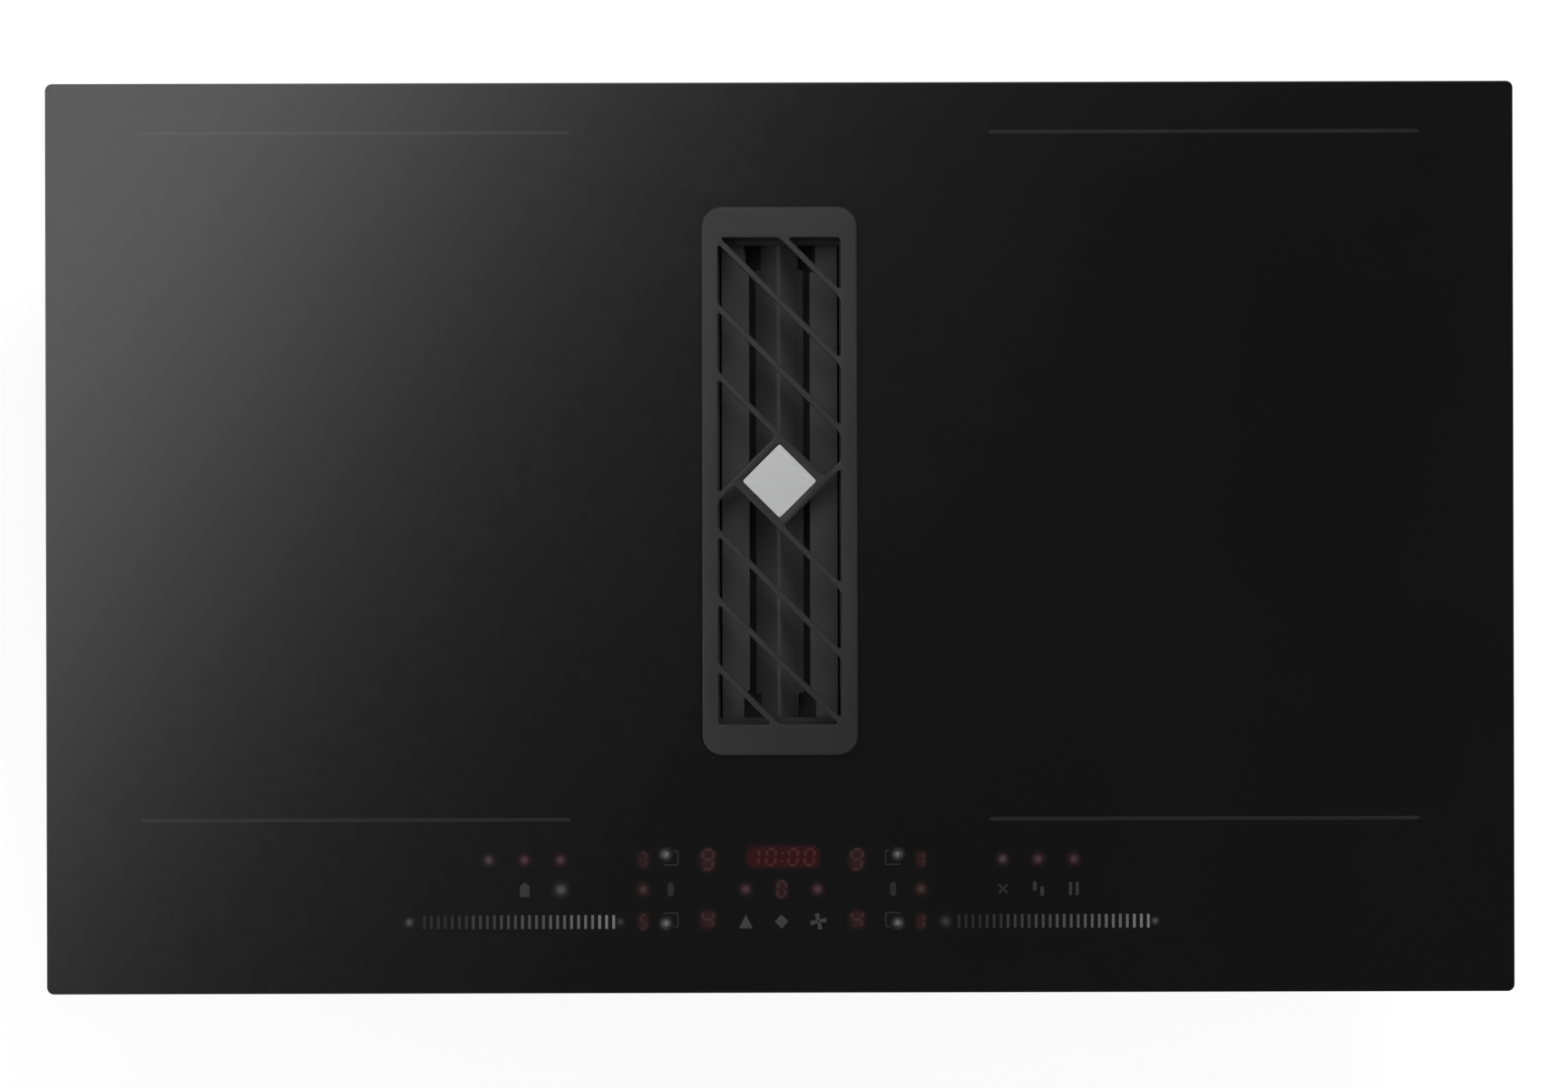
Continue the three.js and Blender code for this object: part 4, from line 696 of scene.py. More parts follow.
SLIVER = 0.09  # the longest stray edge, which would keep the rounding from the whole piece
FLAT_ANGLE = math.radians(0.5)  # between faces that count as one
ROUNDED_ANGLE = math.radians(35)


def dressed(node, slot, bevel, materials=None, change=None, paint=None, cuts=()):
    """The CAD solid as a fine mesh: same form and place, its hard edges rounded over. Edges are
    cut in at the levels of y in cuts, change moves points and paint picks a face's material."""
    mesh = NODES[node].data.copy()
    mesh.materials.clear()
    for material in materials or [MATERIALS[slot]]:
        mesh.materials.append(material)
    work = bmesh.new()
    work.from_mesh(mesh)
    bmesh.ops.remove_doubles(work, verts=work.verts, dist=2e-6)
    for level in cuts:
        bmesh.ops.bisect_plane(
            work, geom=work.verts[:] + work.edges[:] + work.faces[:], dist=1e-7,
            plane_co=(0, level * MM, 0), plane_no=(0, 1, 0)
        )
    if change:
        for vert in work.verts:
            vert.co = change(vert.co)
    bmesh.ops.dissolve_limit(work, angle_limit=FLAT_ANGLE, verts=work.verts, edges=work.edges)
    bmesh.ops.remove_doubles(work, verts=work.verts, dist=SLIVER * MM)
    bmesh.ops.recalc_face_normals(work, faces=work.faces)
    for face in work.faces:
        face.material_index = paint(face.calc_center_median()) if paint else 0
    work.to_mesh(mesh)
    work.free()
    made = in_scene("dressed_" + node, mesh)
    rounding = made.modifiers.new("rounding", "BEVEL")
    rounding.width = bevel * MM
    rounding.segments = 2
    rounding.limit_method = "ANGLE"
    rounding.angle_limit = ROUNDED_ANGLE
    rounding.miter_outer = "MITER_ARC"
    settle(made)
    place(smoothed(made), BODY_OF[node], slot, node)


def node_box(node):
    """The lowest and highest corner of a CAD solid, in millimetres."""
    corners = [vert.co / MM for vert in NODES[node].data.vertices]
    return [Vector([pick(values) for values in zip(*corners)]) for pick in (min, max)]


# ---------------------------------------------------------------- glass and its marks
def build_glass():
    form = Form()
    outline = rounded_rect(*GLASS, 4)
    hole = rounded_rect(*VENT, 8, 0, VENT_Y)
    form.slab(outline, GLASS_BOTTOM, GLASS_TOP, 0.6, 4, [hole], both=True)
    stand_in(form, "glass_top", "glass")


MARK_LOW = GLASS_TOP - 0.05
GLOW_HIGH = GLASS_TOP + 0.012
MARK_HIGH = GLASS_TOP + 0.03


def mark(form, outline):
    """A thin printed shape on the glass."""
    form.closed([form.ring(outline, MARK_LOW), form.ring(outline, MARK_HIGH)])


def mark_box(form, x, y, width, height, corner=0.1):
    mark(form, rounded_rect(width, height, corner, x, y, 2))


def mark_frame(form, x, y, width, height, line):
    outer = rounded_rect(width, height, 0.6, x, y, 2)
    inner = rounded_rect(width - 2 * line, height - 2 * line, 0.2, x, y, 2)
    form.hoop([
        form.ring(outer, MARK_LOW), form.ring(outer, MARK_HIGH),
        form.ring(inner, MARK_HIGH), form.ring(inner, MARK_LOW),
    ])


def add_marks(name, form, material):
    place(form.make(name, material, weight=False), "chassis", "glass")


def glow_rings(name, material, outlines, glow, high):
    """A low mound of nested outlines, from the middle out, that carry the mesh attribute 'glow'."""
    form = Form()
    rings = [form.ring(outline, high) for outline in outlines]
    form.closed([*rings, form.ring(outlines[-1], MARK_LOW)])
    mesh = form.mesh(name, material)
    count = len(outlines[0])
    layer = mesh.attributes.new("glow", "FLOAT", "POINT")
    layer.data.foreach_set("value", [g for g in glow for _ in range(count)] + [0.0] * count)
    place(in_scene(name, mesh), "chassis", "glass")


HALO = 4.5  # how fast the light of a lamp falls off


def bell(share):
    """The fall of light from the middle of a lamp, 0, to the rim of its halo, 1."""
    return (math.exp(-HALO * share * share) - math.exp(-HALO)) / (1 - math.exp(-HALO))


def glow_disc(name, material, x, y, width, high=MARK_HIGH):
    """A round lamp whose light is half as strong at half of its width from the middle."""
    shares = [0.05, 0.2, 0.32, 0.44, 0.56, 0.7, 0.85, 1.0]
    outlines = [circle(width * 1.25 * share, x, y, 24) for share in shares]
    glow_rings(name, material, outlines, [bell(share) for share in shares], high)


def glow_pad(name, material, x, y, width, height, soft):
    """A soft glow behind a row of digits."""
    steps = [0.0, 0.2, 0.4, 0.6, 0.8, 1.0]
    outlines = [
        rounded_rect(width + 2 * soft * t, height + 2 * soft * t, height * 0.3 + soft * t, x, y, 5)
        for t in steps
    ]
    glow_rings(name, material, outlines, [bell(t) for t in steps], GLOW_HIGH)


SEGMENTS = {
    "0": "abcdef", "1": "bc", "4": "bcfg", "5": "acdfg", "7": "abc", "9": "abcdfg",
}
LEAN = 0.08  # of the digits, to the right


def seven_segment(form, x, y, width, height, digit, line):
    half_w, half_h = width / 2, height / 2
    places = {
        "a": (0, half_h, True), "g": (0, 0, True), "d": (0, -half_h, True),
        "f": (-half_w, half_h / 2, False), "b": (half_w, half_h / 2, False),
        "e": (-half_w, -half_h / 2, False), "c": (half_w, -half_h / 2, False),
    }
    for key in SEGMENTS[digit]:
        sx, sy, flat = places[key]
        reach = (half_w if flat else half_h / 2) - line * 0.25
        tip = line / 2
        shape = [(-reach, 0), (-reach + tip, -tip), (reach - tip, -tip),
                 (reach, 0), (reach - tip, tip), (-reach + tip, tip)]
        if not flat:
            shape = [(py, -px) for px, py in shape]
        mark(form, [(x + sx + px + LEAN * (sy + py), y + sy + py) for px, py in shape])


ROW = {1: -182.0, 2: -198.8, 3: -217.1}  # of the panel's marks, from the rear
CLOCK_Y = ROW[1] + 1.4
TICKS = 28
TICK_PITCH = 3.965


def build_lamps():
    """Lamps over the keys, white spots in the zone icons, and the ends of the sliders."""
    pink = glow_material("lamp_pink", (0.060, 0.031, 0.040), (0.018, 0.005, 0.008))
    pale = glow_material("lamp_pale", (0.060, 0.045, 0.050), (0.015, 0.007, 0.009))
    amber = glow_material("lamp_amber", (0.042, 0.027, 0.025), (0.014, 0.005, 0.004))
    spot = glow_material("lamp_spot", grey(0.135), grey(0.032))
    white = glow_material("lamp_white", grey(0.066), grey(0.014))
    dim = glow_material("lamp_dim", grey(0.034), grey(0.010))
    for i, x in enumerate((-165.0, -144.8, -124.4, 125.6, 145.6, 165.8)):
        glow_disc(f"key_lamp_{i}", pink if i % 3 else pale, x, ROW[1], 4.4)
    for i, (x, finish) in enumerate([(-77.6, amber), (-19.7, pink), (20.9, pink), (79.3, amber)]):
        glow_disc(f"side_lamp_{i}", finish, x, ROW[2], 4.6)
    glow_disc("key_white", white, -124.2, ROW[2], 5.4)
    for i, (x, y) in enumerate([(-65.0, 3.1), (66.3, 2.9)]):
        glow_disc(f"zone_spot_{i}", spot, x, ROW[1] + y, 4.0)
        glow_disc(f"zone_spot_{i + 2}", spot, x, ROW[3] - 0.9, 4.0)
    glow_disc("slider_left_zero", white, -210.0, ROW[3], 3.6)
    glow_disc("slider_left_full", dim, -90.6, ROW[3], 3.0, GLOW_HIGH)
    glow_disc("slider_right_zero", dim, 93.2, ROW[3], 4.4)
    glow_disc("slider_right_full", white, 211.7, ROW[3], 3.0, GLOW_HIGH)


def build_digits():
    """Seven-segment digits, each over a faint red glow."""
    red_glow = glow_material("digit_glow", (0.021, 0.0006, 0.0018), (0.009, 0.0003, 0.0008))
    rose_glow = glow_material("digit_glow_rose", (0.017, 0.0045, 0.0070), (0.007, 0.0016, 0.0026))
    clock_lit = lit_material("digit_lit", (0.050, 0.0110, 0.0135))
    zone_lit = lit_material("digit_rose", (0.034, 0.0125, 0.0170))
    clock, zones = Form(), Form()
    for i, (x, y, w, h, digit, line) in enumerate([
        (-77.6, ROW[1], 3.2, 8.0, "7", 1.3), (79.4, ROW[1], 3.2, 8.0, "1", 1.3),
        (-77.6, ROW[3], 3.2, 8.0, "5", 1.3), (79.4, ROW[3], 3.2, 8.0, "1", 1.3),
        (-41.2, ROW[1], 6.0, 11.0, "9", 1.9), (43.0, ROW[1], 6.0, 11.0, "9", 1.9),
        (-41.2, ROW[3] + 1.2, 6.0, 9.0, "4", 1.8), (43.0, ROW[3] + 1.2, 6.0, 9.0, "4", 1.8),
    ]):
        wide = w > 4
        glow_pad(f"digit_glow_{i}", rose_glow, x, y, w * 0.7, h * 0.7, 5.0 if wide else 4.0)
        seven_segment(zones, x, y, w, h, digit, line)
    glow_pad("digit_glow_level", rose_glow, 0.6, ROW[2], 3.0, 7.0, 4.0)
    seven_segment(zones, 0.6, ROW[2], 4.4, 9.0, "0", 1.5)
    glow_pad("clock_glow", red_glow, 1.4, CLOCK_Y, 38.0, 9.0, 3.6)
    for x, digit in [(-14.8, "1"), (-5.4, "0"), (7.2, "0"), (16.4, "0")]:
        seven_segment(clock, x, CLOCK_Y, 5.0, 9.0, digit, 1.5)
    for dy in (-2.2, 2.2):
        mark(clock, circle(0.8, 1.1 + LEAN * dy, CLOCK_Y + dy, 12))
    add_marks("digits_clock", clock, clock_lit)
    add_marks("digits_zones", zones, zone_lit)


def build_icons():
    """Zone icons are a frame with one lit quarter. The plain keys are bars, a cross and a fan."""
    bright = lit_material("icon_lit", grey(0.039))
    plain = lit_material("icon_plain", grey(0.030))
    faint = lit_material("icon_faint", grey(0.017))
    icons, mid, low = Form(), Form(), Form()
    for x in (-62.0, 63.4):
        for y in (ROW[1] + 1.0, ROW[3] + 1.0):
            mark_frame(low, x, y, 8.6, 8.6, 0.8)
    mark_box(low, -62.2, ROW[2], 3.4, 8.0, 1.6)
    mark_box(low, 63.6, ROW[2], 3.4, 8.0, 1.6)
    mark(mid, [(-147.4, ROW[2] - 4), (-142.0, ROW[2] - 4), (-142.0, ROW[2] + 2),
               (-144.7, ROW[2] + 4.2), (-147.4, ROW[2] + 2)])
    for dx in (-1.9, 1.9):
        mark_box(mid, 165.8 + dx, ROW[2], 1.7, 7.6, 0.6)
        mark_box(mid, 145.8 + dx * 1.1, ROW[2] - dx * 0.8, 2.0, 5.4, 0.8)
    for angle in (45, 135):
        turn = Matrix.Rotation(math.radians(angle), 2)
        corners = [turn @ Vector(p) for p in [(-3.6, -0.6), (3.6, -0.6), (3.6, 0.6), (-3.6, 0.6)]]
        mark(low, [(125.8 + p.x, ROW[2] + p.y) for p in corners])
    y = ROW[3]
    mark(icons, [(-23.6, y - 3.8), (-15.8, y - 3.8), (-19.7, y + 4.0)])
    mark(icons, [(-3.4, y), (0.5, y - 4.0), (4.4, y), (0.5, y + 4.0)])
    for k in range(4):
        turn = Matrix.Rotation(math.radians(20 + 90 * k), 2)
        petal = [turn @ Vector(p) for p in [(0.4, -0.7), (4.2, -2.0), (4.8, 0.6), (0.8, 0.9)]]
        mark(icons, [(21.4 + p.x, y + p.y) for p in petal])
    add_marks("key_icons_bright", icons, bright)
    add_marks("key_icons_plain", mid, plain)
    add_marks("key_icons_faint", low, faint)


def build_sliders():
    """Two sliders whose ticks grow brighter towards full power."""
    levels = [0.016, 0.022, 0.034, 0.047, 0.062, 0.080, 0.104, 0.150]
    shades = [lit_material(f"tick_{i}", grey(level)) for i, level in enumerate(levels)]
    for start, word in ((-201.5, "left"), (100.8, "right")):
        for i, material in enumerate(shades):
            ticks = Form()
            for k in range(TICKS):
                if k * len(shades) // TICKS == i:
                    mark_box(ticks, start + k * TICK_PITCH, ROW[3], 1.5, 7.8, 0.3)
            add_marks(f"slider_{word}_{i}", ticks, material)


def build_zone_lines():
    lines = Form()
    for y in (229.3, -159.2):
        for side in (-1, 1):
            mark_box(lines, side * 239.9, y, 243.0, 2.0, 0.9)
    add_marks("zone_lines", lines, MATERIALS["print"])


# ---------------------------------------------------------------- grille and inlay
SKIRT_BOTTOM = 192.6
PLATE_BOTTOM = 200.0  # under the bars
POCKET_FLOOR = 204.7
FINE = 0.3  # a fine break of an edge


def vent_diamond(reach, corner):
    corners = [(reach, VENT_Y), (0, VENT_Y + reach), (-reach, VENT_Y), (0, VENT_Y - reach)]
    return softened(corners, corner)


def build_grille():
    form = Form()

    def rounding(outline, bevel, steps, way):
        """Rings from the top face down over an edge; way is 1 for a hole and -1 for the rim."""
        rings = []
        for k in range(steps + 1):
            angle = math.pi / 2 * (1 - k / steps)
            inset = bevel * (1 - math.cos(angle))
            level = GRILLE_TOP - bevel * (1 - math.sin(angle))
            rings.append(form.ring(grown(outline, way * inset), level))
        return rings

    def nested(*steps):
        """Rings of an outline, grown by an amount, at a level."""
        return [form.ring(grown(outline, amount), level) for outline, amount, level in steps]

    outer = rounded_rect(*GRILLE, 11.5, 0, VENT_Y, 10)
    skirt = rounded_rect(*SKIRT, 6, 0, VENT_Y, 10)
    well = rounded_rect(SKIRT[0] - 6, SKIRT[1] - 6, 3, 0, VENT_Y, 10)
    foot = GLASS_TOP + FINE
    low = SKIRT_BOTTOM
    rings = rounding(outer, 0.8, 4, -1)
    rings += nested((outer, 0, foot + FINE), (outer, -FINE, foot), (skirt, 0, foot))
    rings += nested((skirt, 0, low + 0.4), (skirt, -0.4, low), (well, 0.4, low))
    rings += nested((well, 0, low + 0.4), (well, 0, PLATE_BOTTOM))
    form.bands(rings)
    top_holes, under_holes = [], []
    for window in grille_windows():
        walls = rounding(window, 0.45, 3, 1)
        walls += nested((window, 0, PLATE_BOTTOM + FINE), (window, 0.2, PLATE_BOTTOM))
        form.bands(walls)
        top_holes.append(walls[0])
        under_holes.append(walls[-1])
    pocket = vent_diamond(INLAY_REACH + INLAY_GAP, 1.6)
    top = GRILLE_TOP
    sides = nested((pocket, 0.35, top), (pocket, 0.1, top - 0.1), (pocket, 0, top - 0.35))
    sides += nested((pocket, 0, POCKET_FLOOR))
    form.bands(sides)
    form.cap(sides[-1])
    form.cap(rings[0], [*top_holes, sides[0]])
    form.cap(rings[-1], under_holes)
    stand_in(form, "vent_grille", "grille")

    inlay = Form()
    inlay.slab(vent_diamond(INLAY_REACH, 1.5), POCKET_FLOOR + FINE, GRILLE_TOP, 0.3, 3)
    stand_in(inlay, "grille_inlay", "inlay")


# ---------------------------------------------------------------- screws and rivets
def screw_head(form, spot, radius, direction, height=None, hexagon=False):
    """A pan head with a cross recess, or a hexagon head, standing on a face."""
    height = height or radius * 0.6
    turn = Vector((0, 0, 1)).rotation_difference(Vector(direction)).to_matrix()
    sides = 6 if hexagon else 20
    if hexagon:
        profile = [(1, 0.85), (0.88, 1)]
    else:
        profile = [(1, 0.35), (0.86, 0.75), (0.6, 0.97), (0.42, 1), (0.34, 1), (0.22, 0.45)]
    steps = [(radius, -0.3)] + [(radius * wide, height * high) for wide, high in profile]
    form.closed([
        form.raw([Vector(spot) + turn @ Vector((*point, level)) for point in circle(r, 0, 0, sides)])
        for r, level in steps
    ])


def add_screws(name, spots, radius, direction, body="chassis", hexagon=False):
    form = Form()
    for spot in spots:
        screw_head(form, spot, radius, direction, hexagon=hexagon)
    add_form(form, name, "motor", body, "zinc", weight=False)


def corners_of(x, y, z, half_x, half_y):
    """The four corners of a rectangle about a point, from the front left one."""
    return [(x + sx * half_x, y + sy * half_y, z) for sx in (-1, 1) for sy in (-1, 1)]


# ---------------------------------------------------------------- hob box
def slot_outline(width, length, x, y):
    return rounded_rect(width, length, min(width, length) / 2 - 0.05, x, y, 5)


PAN_CORNER = 8.0
WALL_SLOT = (5.0, 28.7)
WALL_SLOTS = 8
WALL_SLOT_PITCH = 18.0
WALL_SLOT_Z = 171.35
INTAKE_SLOT = (5.0, 64.0)
INTAKE_SLOTS = 6
INTAKE_PITCH = 12.0
BEAD = 9.0  # width of the pressed beads
PLATE = (178.0, -130.0)  # middle of the rating plate


def row_of(middle, count, pitch):
    """Evenly spaced places about a middle."""
    return [middle + (n - (count - 1) / 2) * pitch for n in range(count)]


def build_pan():
    """The sheet steel box: bent floor edges, slotted walls, a rim turned out, and pressed beads."""
    form = Form()
    floor = PAN_BOTTOM + PAN_SHEET
    outside = rounded_rect(*PAN, PAN_CORNER)
    inside = grown(outside, -PAN_SHEET)

    def bent(outline, level, radius, steps=4):
        """Rings of the bend between the floor and the walls."""
        rings = []
        for k in range(steps + 1):
            angle = math.pi / 2 * k / steps
            inset = radius * (1 - math.sin(angle))
            rings.append(form.ring(grown(outline, -inset), level + radius * (1 - math.cos(angle))))
        form.bands(rings)
        return rings

    outer = bent(outside, PAN_BOTTOM, 1.6)
    inner = bent(inside, floor, 0.6)
    flange = grown(outside, PAN_FLANGE)
    under = PAN_TOP - PAN_SHEET
    rim = [form.ring(grown(outline, amount), level) for outline, amount, level in [
        (outside, 0, under - 0.5), (outside, 0.15, under - 0.15), (outside, 0.5, under),
        (flange, -0.3, under), (flange, 0, under + 0.3), (flange, 0, PAN_TOP - 0.3),
        (flange, -0.3, PAN_TOP), (inside, 1.2, PAN_TOP), (inside, 0.4, PAN_TOP - 0.35),
        (inside, 0, PAN_TOP - 1.2),
    ]]
    form.bands(rim)

    # The walls, with the slots of the two sides through them.
    walls = [(outer[-1], rim[0], 0.0), (inner[-1], rim[-1], PAN_SHEET)]
    sides = {(17, 18): -1, (35, 0): 1}  # corners of the outline that end the side walls
    for i in range(len(outside)):
        k = (i + 1) % len(outside)
        loops = []
        for low, high, depth in walls:
            holes = []
            if (i, k) in sides:
                x = sides[(i, k)] * (PAN[0] / 2 - depth)
                for y in row_of(BAY[1], WALL_SLOTS, WALL_SLOT_PITCH):
                    points = slot_outline(*WALL_SLOT, y, WALL_SLOT_Z)
                    holes.append(form.raw([(x, py, pz) for py, pz in points]))
            form.cap([low[i], low[k], high[k], high[i]], holes)
            loops.append(holes)
        for first, last in zip(*loops):
            form.band(first, last)

    # The floor: openings right through it, and beads pressed in from below.
    openings = [rounded_rect(*DUCT, 10.5, 0, VENT_Y), circle(12, *CABLE_HOLE, 32)]
    for side in (-1, 1):
        for x in row_of(side * FAN[0], INTAKE_SLOTS, INTAKE_PITCH):
            openings.append(slot_outline(*INTAKE_SLOT, x, FAN[1]))
    through_low, through_high = [], []
    for outline in openings:
        through_low.append(form.ring(outline, PAN_BOTTOM))
        through_high.append(form.ring(outline, floor))
        form.band(through_low[-1], through_high[-1])
    beads = [slot_outline(205, BEAD, 178, y) for y in (-196, -64, -20, 24, 68)]
    beads += [slot_outline(205, BEAD, -178, -196), slot_outline(BEAD, 250, -368, 60)]
    beads += [slot_outline(BEAD, 190, 368, 70), slot_outline(90, BEAD, -10, 218)]
    for outline in beads:
        steps = [(0, 0), (0.9, 0.15), (1.8, 0.6), (2.6, 0.75)]
        rings = [form.ring(grown(outline, -inset), PAN_BOTTOM + up) for inset, up in steps]
        form.bands(rings)
        form.cap(rings[-1])
        through_low.append(rings[0])
    form.cap(outer[0], through_low)
    form.cap(inner[0], through_high)
    stand_in(form, "base_pan", "sheet_steel")


def build_pan_details():
    """Screws, rivets and a bare rating plate on the outside of the box."""
    half_x, half_y = PAN[0] / 2, PAN[1] / 2
    for side, word in ((-1, "front"), (1, "rear")):
        spots = [(x, side * half_y, 190) for x in (-330, -165, 0, 165, 330)]
        add_screws(f"pan_screws_{word}", spots, 3.4, (0, side, 0))
    for side, word in ((-1, "left"), (1, "right")):
        spots = [(side * half_x, y, 190) for y in (-215, -60, 130, 215)]
        add_screws(f"pan_screws_{word}", spots, 3.4, (side, 0, 0))
        spots = [(side * (half_x + 1.5), y, 189) for y in (-172, -158, 158, 172)]
        add_screws(f"clip_screws_{word}", spots, 2.6, (side, 0, 0), hexagon=True)
    under = [
        spot for side in (-1, 1)
        for spot in corners_of(side * FAN[0], FAN[1], PAN_BOTTOM, 30, 30)
    ]
    add_screws("fan_screws", under, 3.0, (0, 0, -1))
    under = [(x, y, PAN_BOTTOM) for x in (90, 386) for y in (-150, 35, 222)]
    under += [(x, y, PAN_BOTTOM) for x in (-90, -386) for y in (-165, 222)]
    add_screws("shelf_rivets", under, 2.6, (0, 0, -1))

    plate = Form()
    outline = rounded_rect(92, 44, 2, *PLATE, 4)
    plate.slab(outline, PAN_BOTTOM - 0.6, PAN_BOTTOM + 0.2, 0.15, 2, both=True)
    add_form(plate, "rating_plate", "aluminium", weight=False)
    add_screws("plate_rivets", corners_of(*PLATE, PAN_BOTTOM - 0.6, 42, 18), 1.6, (0, 0, -1))


# ---------------------------------------------------------------- boards
def build_board(node, stand, sleeves=0.0, cans=1000.0):
    """A circuit board, its parts coloured by where they stand: those within sleeves of the left
    edge are capacitors, with bare tops from cans up, and those below the board are pillars."""
    low, _ = node_box(node)
    names = ["board", "grey_plastic", "sleeve", "aluminium", "white_plastic"]

    def paint(centre):
        height = centre.z / MM - low.z - stand
        if height < 0.1:
            return 0 if height > -BOARD_THICK - 0.1 else 4
        if centre.x / MM - low.x > sleeves:
            return 1
        return 3 if height > cans else 2

    dressed(node, "board", 0.2, [MATERIALS[name] for name in names], paint=paint)


TOUCH_PADS = 21


def build_board_parts():
    """Chips, sockets and screws on the power and mains boards, and touch pads on the front one."""
    chips, sockets, screws = Form(), Form(), []
    small = [(2.4, 4.2, 1.5, -54, -12.5 + 5 * k) for k in range(6)]
    power_chips = [(13, 13, 1.7, -30, 0), *small]
    for side in (-1, 1):
        power_chips += [
            (8, 11, 1.9, -6, side * 22), (5, 6, 1.4, 10, side * 52), (6, 9, 1.6, -6, side * 66)
        ]
    mains_chips = [(5, 7, 6, -21, 21), (5, 7, 6, 21, 21), (9, 4, 8, -21, -20), (9, 4, 8, 21, -20)]
    power_plugs, mains_plugs = [(-84, 58), (-84, -58)], [(-65, 0), (65, 0)]
    for node, parts, plugs in (
        ("power_board_left", power_chips, power_plugs),
        ("power_board_right", power_chips, power_plugs),
        ("mains_filter_board", mains_chips, mains_plugs),
    ):
        low, high = node_box(node)
        x, y, top = (low.x + high.x) / 2, (low.y + high.y) / 2, low.z + BOARD_TOP
        for width, length, height, dx, dy in parts:
            outline = rounded_rect(width, length, 0.3, x + dx, y + dy, 2)
            chips.slab(outline, top, top + height, 0.3, 1)
        for dx, dy in plugs:
            sockets.slab(rounded_rect(10, 22, 1, x + dx, y + dy, 3), top, top + 9, 0.5, 2)
        screws += corners_of(x, y, top, (high.x - low.x) / 2 - 5, (high.y - low.y) / 2 - 5)
    add_form(chips, "board_chips", "black_plastic")
    add_form(sockets, "board_sockets", "white_plastic")
    add_screws("board_screws", screws, 2.8, (0, 0, 1))
    pads = Form()
    low, high = node_box("touch_board")
    y, foot = (low.y + high.y) / 2 - 14, low.z + BOARD_THICK
    for k in range(TOUCH_PADS):
        x = low.x + 15 + k * (high.x - low.x - 30) / (TOUCH_PADS - 1)
        pads.slab(circle(3.4, x, y, 24), foot, foot + 2.6, 0.4, 2)
    add_form(pads, "touch_pads", "motor")


# ---------------------------------------------------------------- blower
SPLIT = 0.44  # share of the scroll's sweep where its free wall starts
LOWER_FLANGE = (88.2, 91.9)
UPPER_FLANGE = (95.4, 98.9)
LOWER_BACK = 206.0  # rear end of the shells' left walls
UPPER_BACK = 118.0
BOSS = 4.6  # radius of the screw bosses
BOSS_OFFSET = 3.2  # out from the wall
BOSS_BOTTOM = 72.0
BOSS_TOP = 108.0
BOSSES = 8  # on each wall
RIB = 1.8  # thickness of the ribs under the tub
RIB_HEIGHT = 2.0
TUB_FLOOR = 1.4  # height of the underside between the ribs
FIN = 1.6  # thickness of the upright ribs on the walls
FIN_LEVELS = ((99.5, 138.0), (6.0, 87.5))  # on the upper and on the lower shell


def spiral(grow, first, steps=60):
    """The scroll's wall from a share of its sweep to the end, clockwise from the tongue."""
    points = []
    for i in range(steps + 1):
        share = first + (1 - first) * i / steps
        angle = TONGUE - (TONGUE + math.pi) * share
        radius = SCROLL[0] + (SCROLL[1] - SCROLL[0]) * share + grow
        points.append((BLOWER[0] + radius * math.cos(angle), BLOWER[1] + radius * math.sin(angle)))
    return points


def wall_paths(back):
    """The outside of the housing in plan as open paths, with the outside on their right."""
    left = BLOWER[0] - SCROLL[1] - HOUSING_WALL
    scroll = [(left, back), (left, (back + BLOWER[1]) / 2), *reversed(spiral(HOUSING_WALL, SPLIT))]
    half_x, half_y = SUMP[0] / 2, SUMP[1] / 2
    corner = rounded_rect(*SUMP, 8, 0, VENT_Y, 6)
    front = [(-half_x, VENT_Y - half_y + 44), *corner[14:]]
    rear = [*corner[:14], (-half_x, VENT_Y + half_y - 60)]
    return scroll, front + rear


def raised_underside(co):
    """The floor of the tub is thinner than its rim, which leaves room for ribs."""
    return Vector((co.x, co.y, TUB_FLOOR * MM)) if co.z < 0.2 * MM else co


FLANK = (28.5, 32.5)  # where the outer edge of a side baffle's flat top lies, off the middle
FLANK_SHIFT = 2.2
HEM = (19.5, 22.5)  # where its inner edge lies
HEM_TOP = 17.2  # where that edge goes
HEM_UNDER = 18.1
HEM_LEVEL = 182.3  # between the upper and the lower face of the flat top


def squarer_baffle(co):
    """Steeper flanks on the side baffles, whose flat tops reach to the air slots."""
    x, y = abs(co.x) / MM, abs(co.y / MM - VENT_Y)
    if FLANK[0] < x < FLANK[1]:
        x += FLANK_SHIFT
    elif HEM[0] < x < HEM[1] and y < HEM_END + 0.1:
        x = HEM_TOP if co.z > HEM_LEVEL * MM else HEM_UNDER
    return Vector((math.copysign(x * MM, co.x), co.y, co.z))


def build_filter_rivets():
    """Low hollow rivets where the baffles and troughs meet the walls of the filter."""
    form = Form()
    for side in (-1, 1):
        for y in row_of(VENT_Y, 6, 50):
            screw_head(form, (side * FILTER_WALLS[0], y, 176), 1.8, (side, 0, 0), 0.3)
        for x, z in ((-27, 177), (-15.5, 160), (0, 178), (15.5, 160), (27, 177)):
            y = VENT_Y + side * FILTER_WALLS[1]
            screw_head(form, (x, y, z), 1.8, (0, side, 0), 0.3)
    add_form(form, "filter_rivets", "filter", "filter", "motor", weight=False)


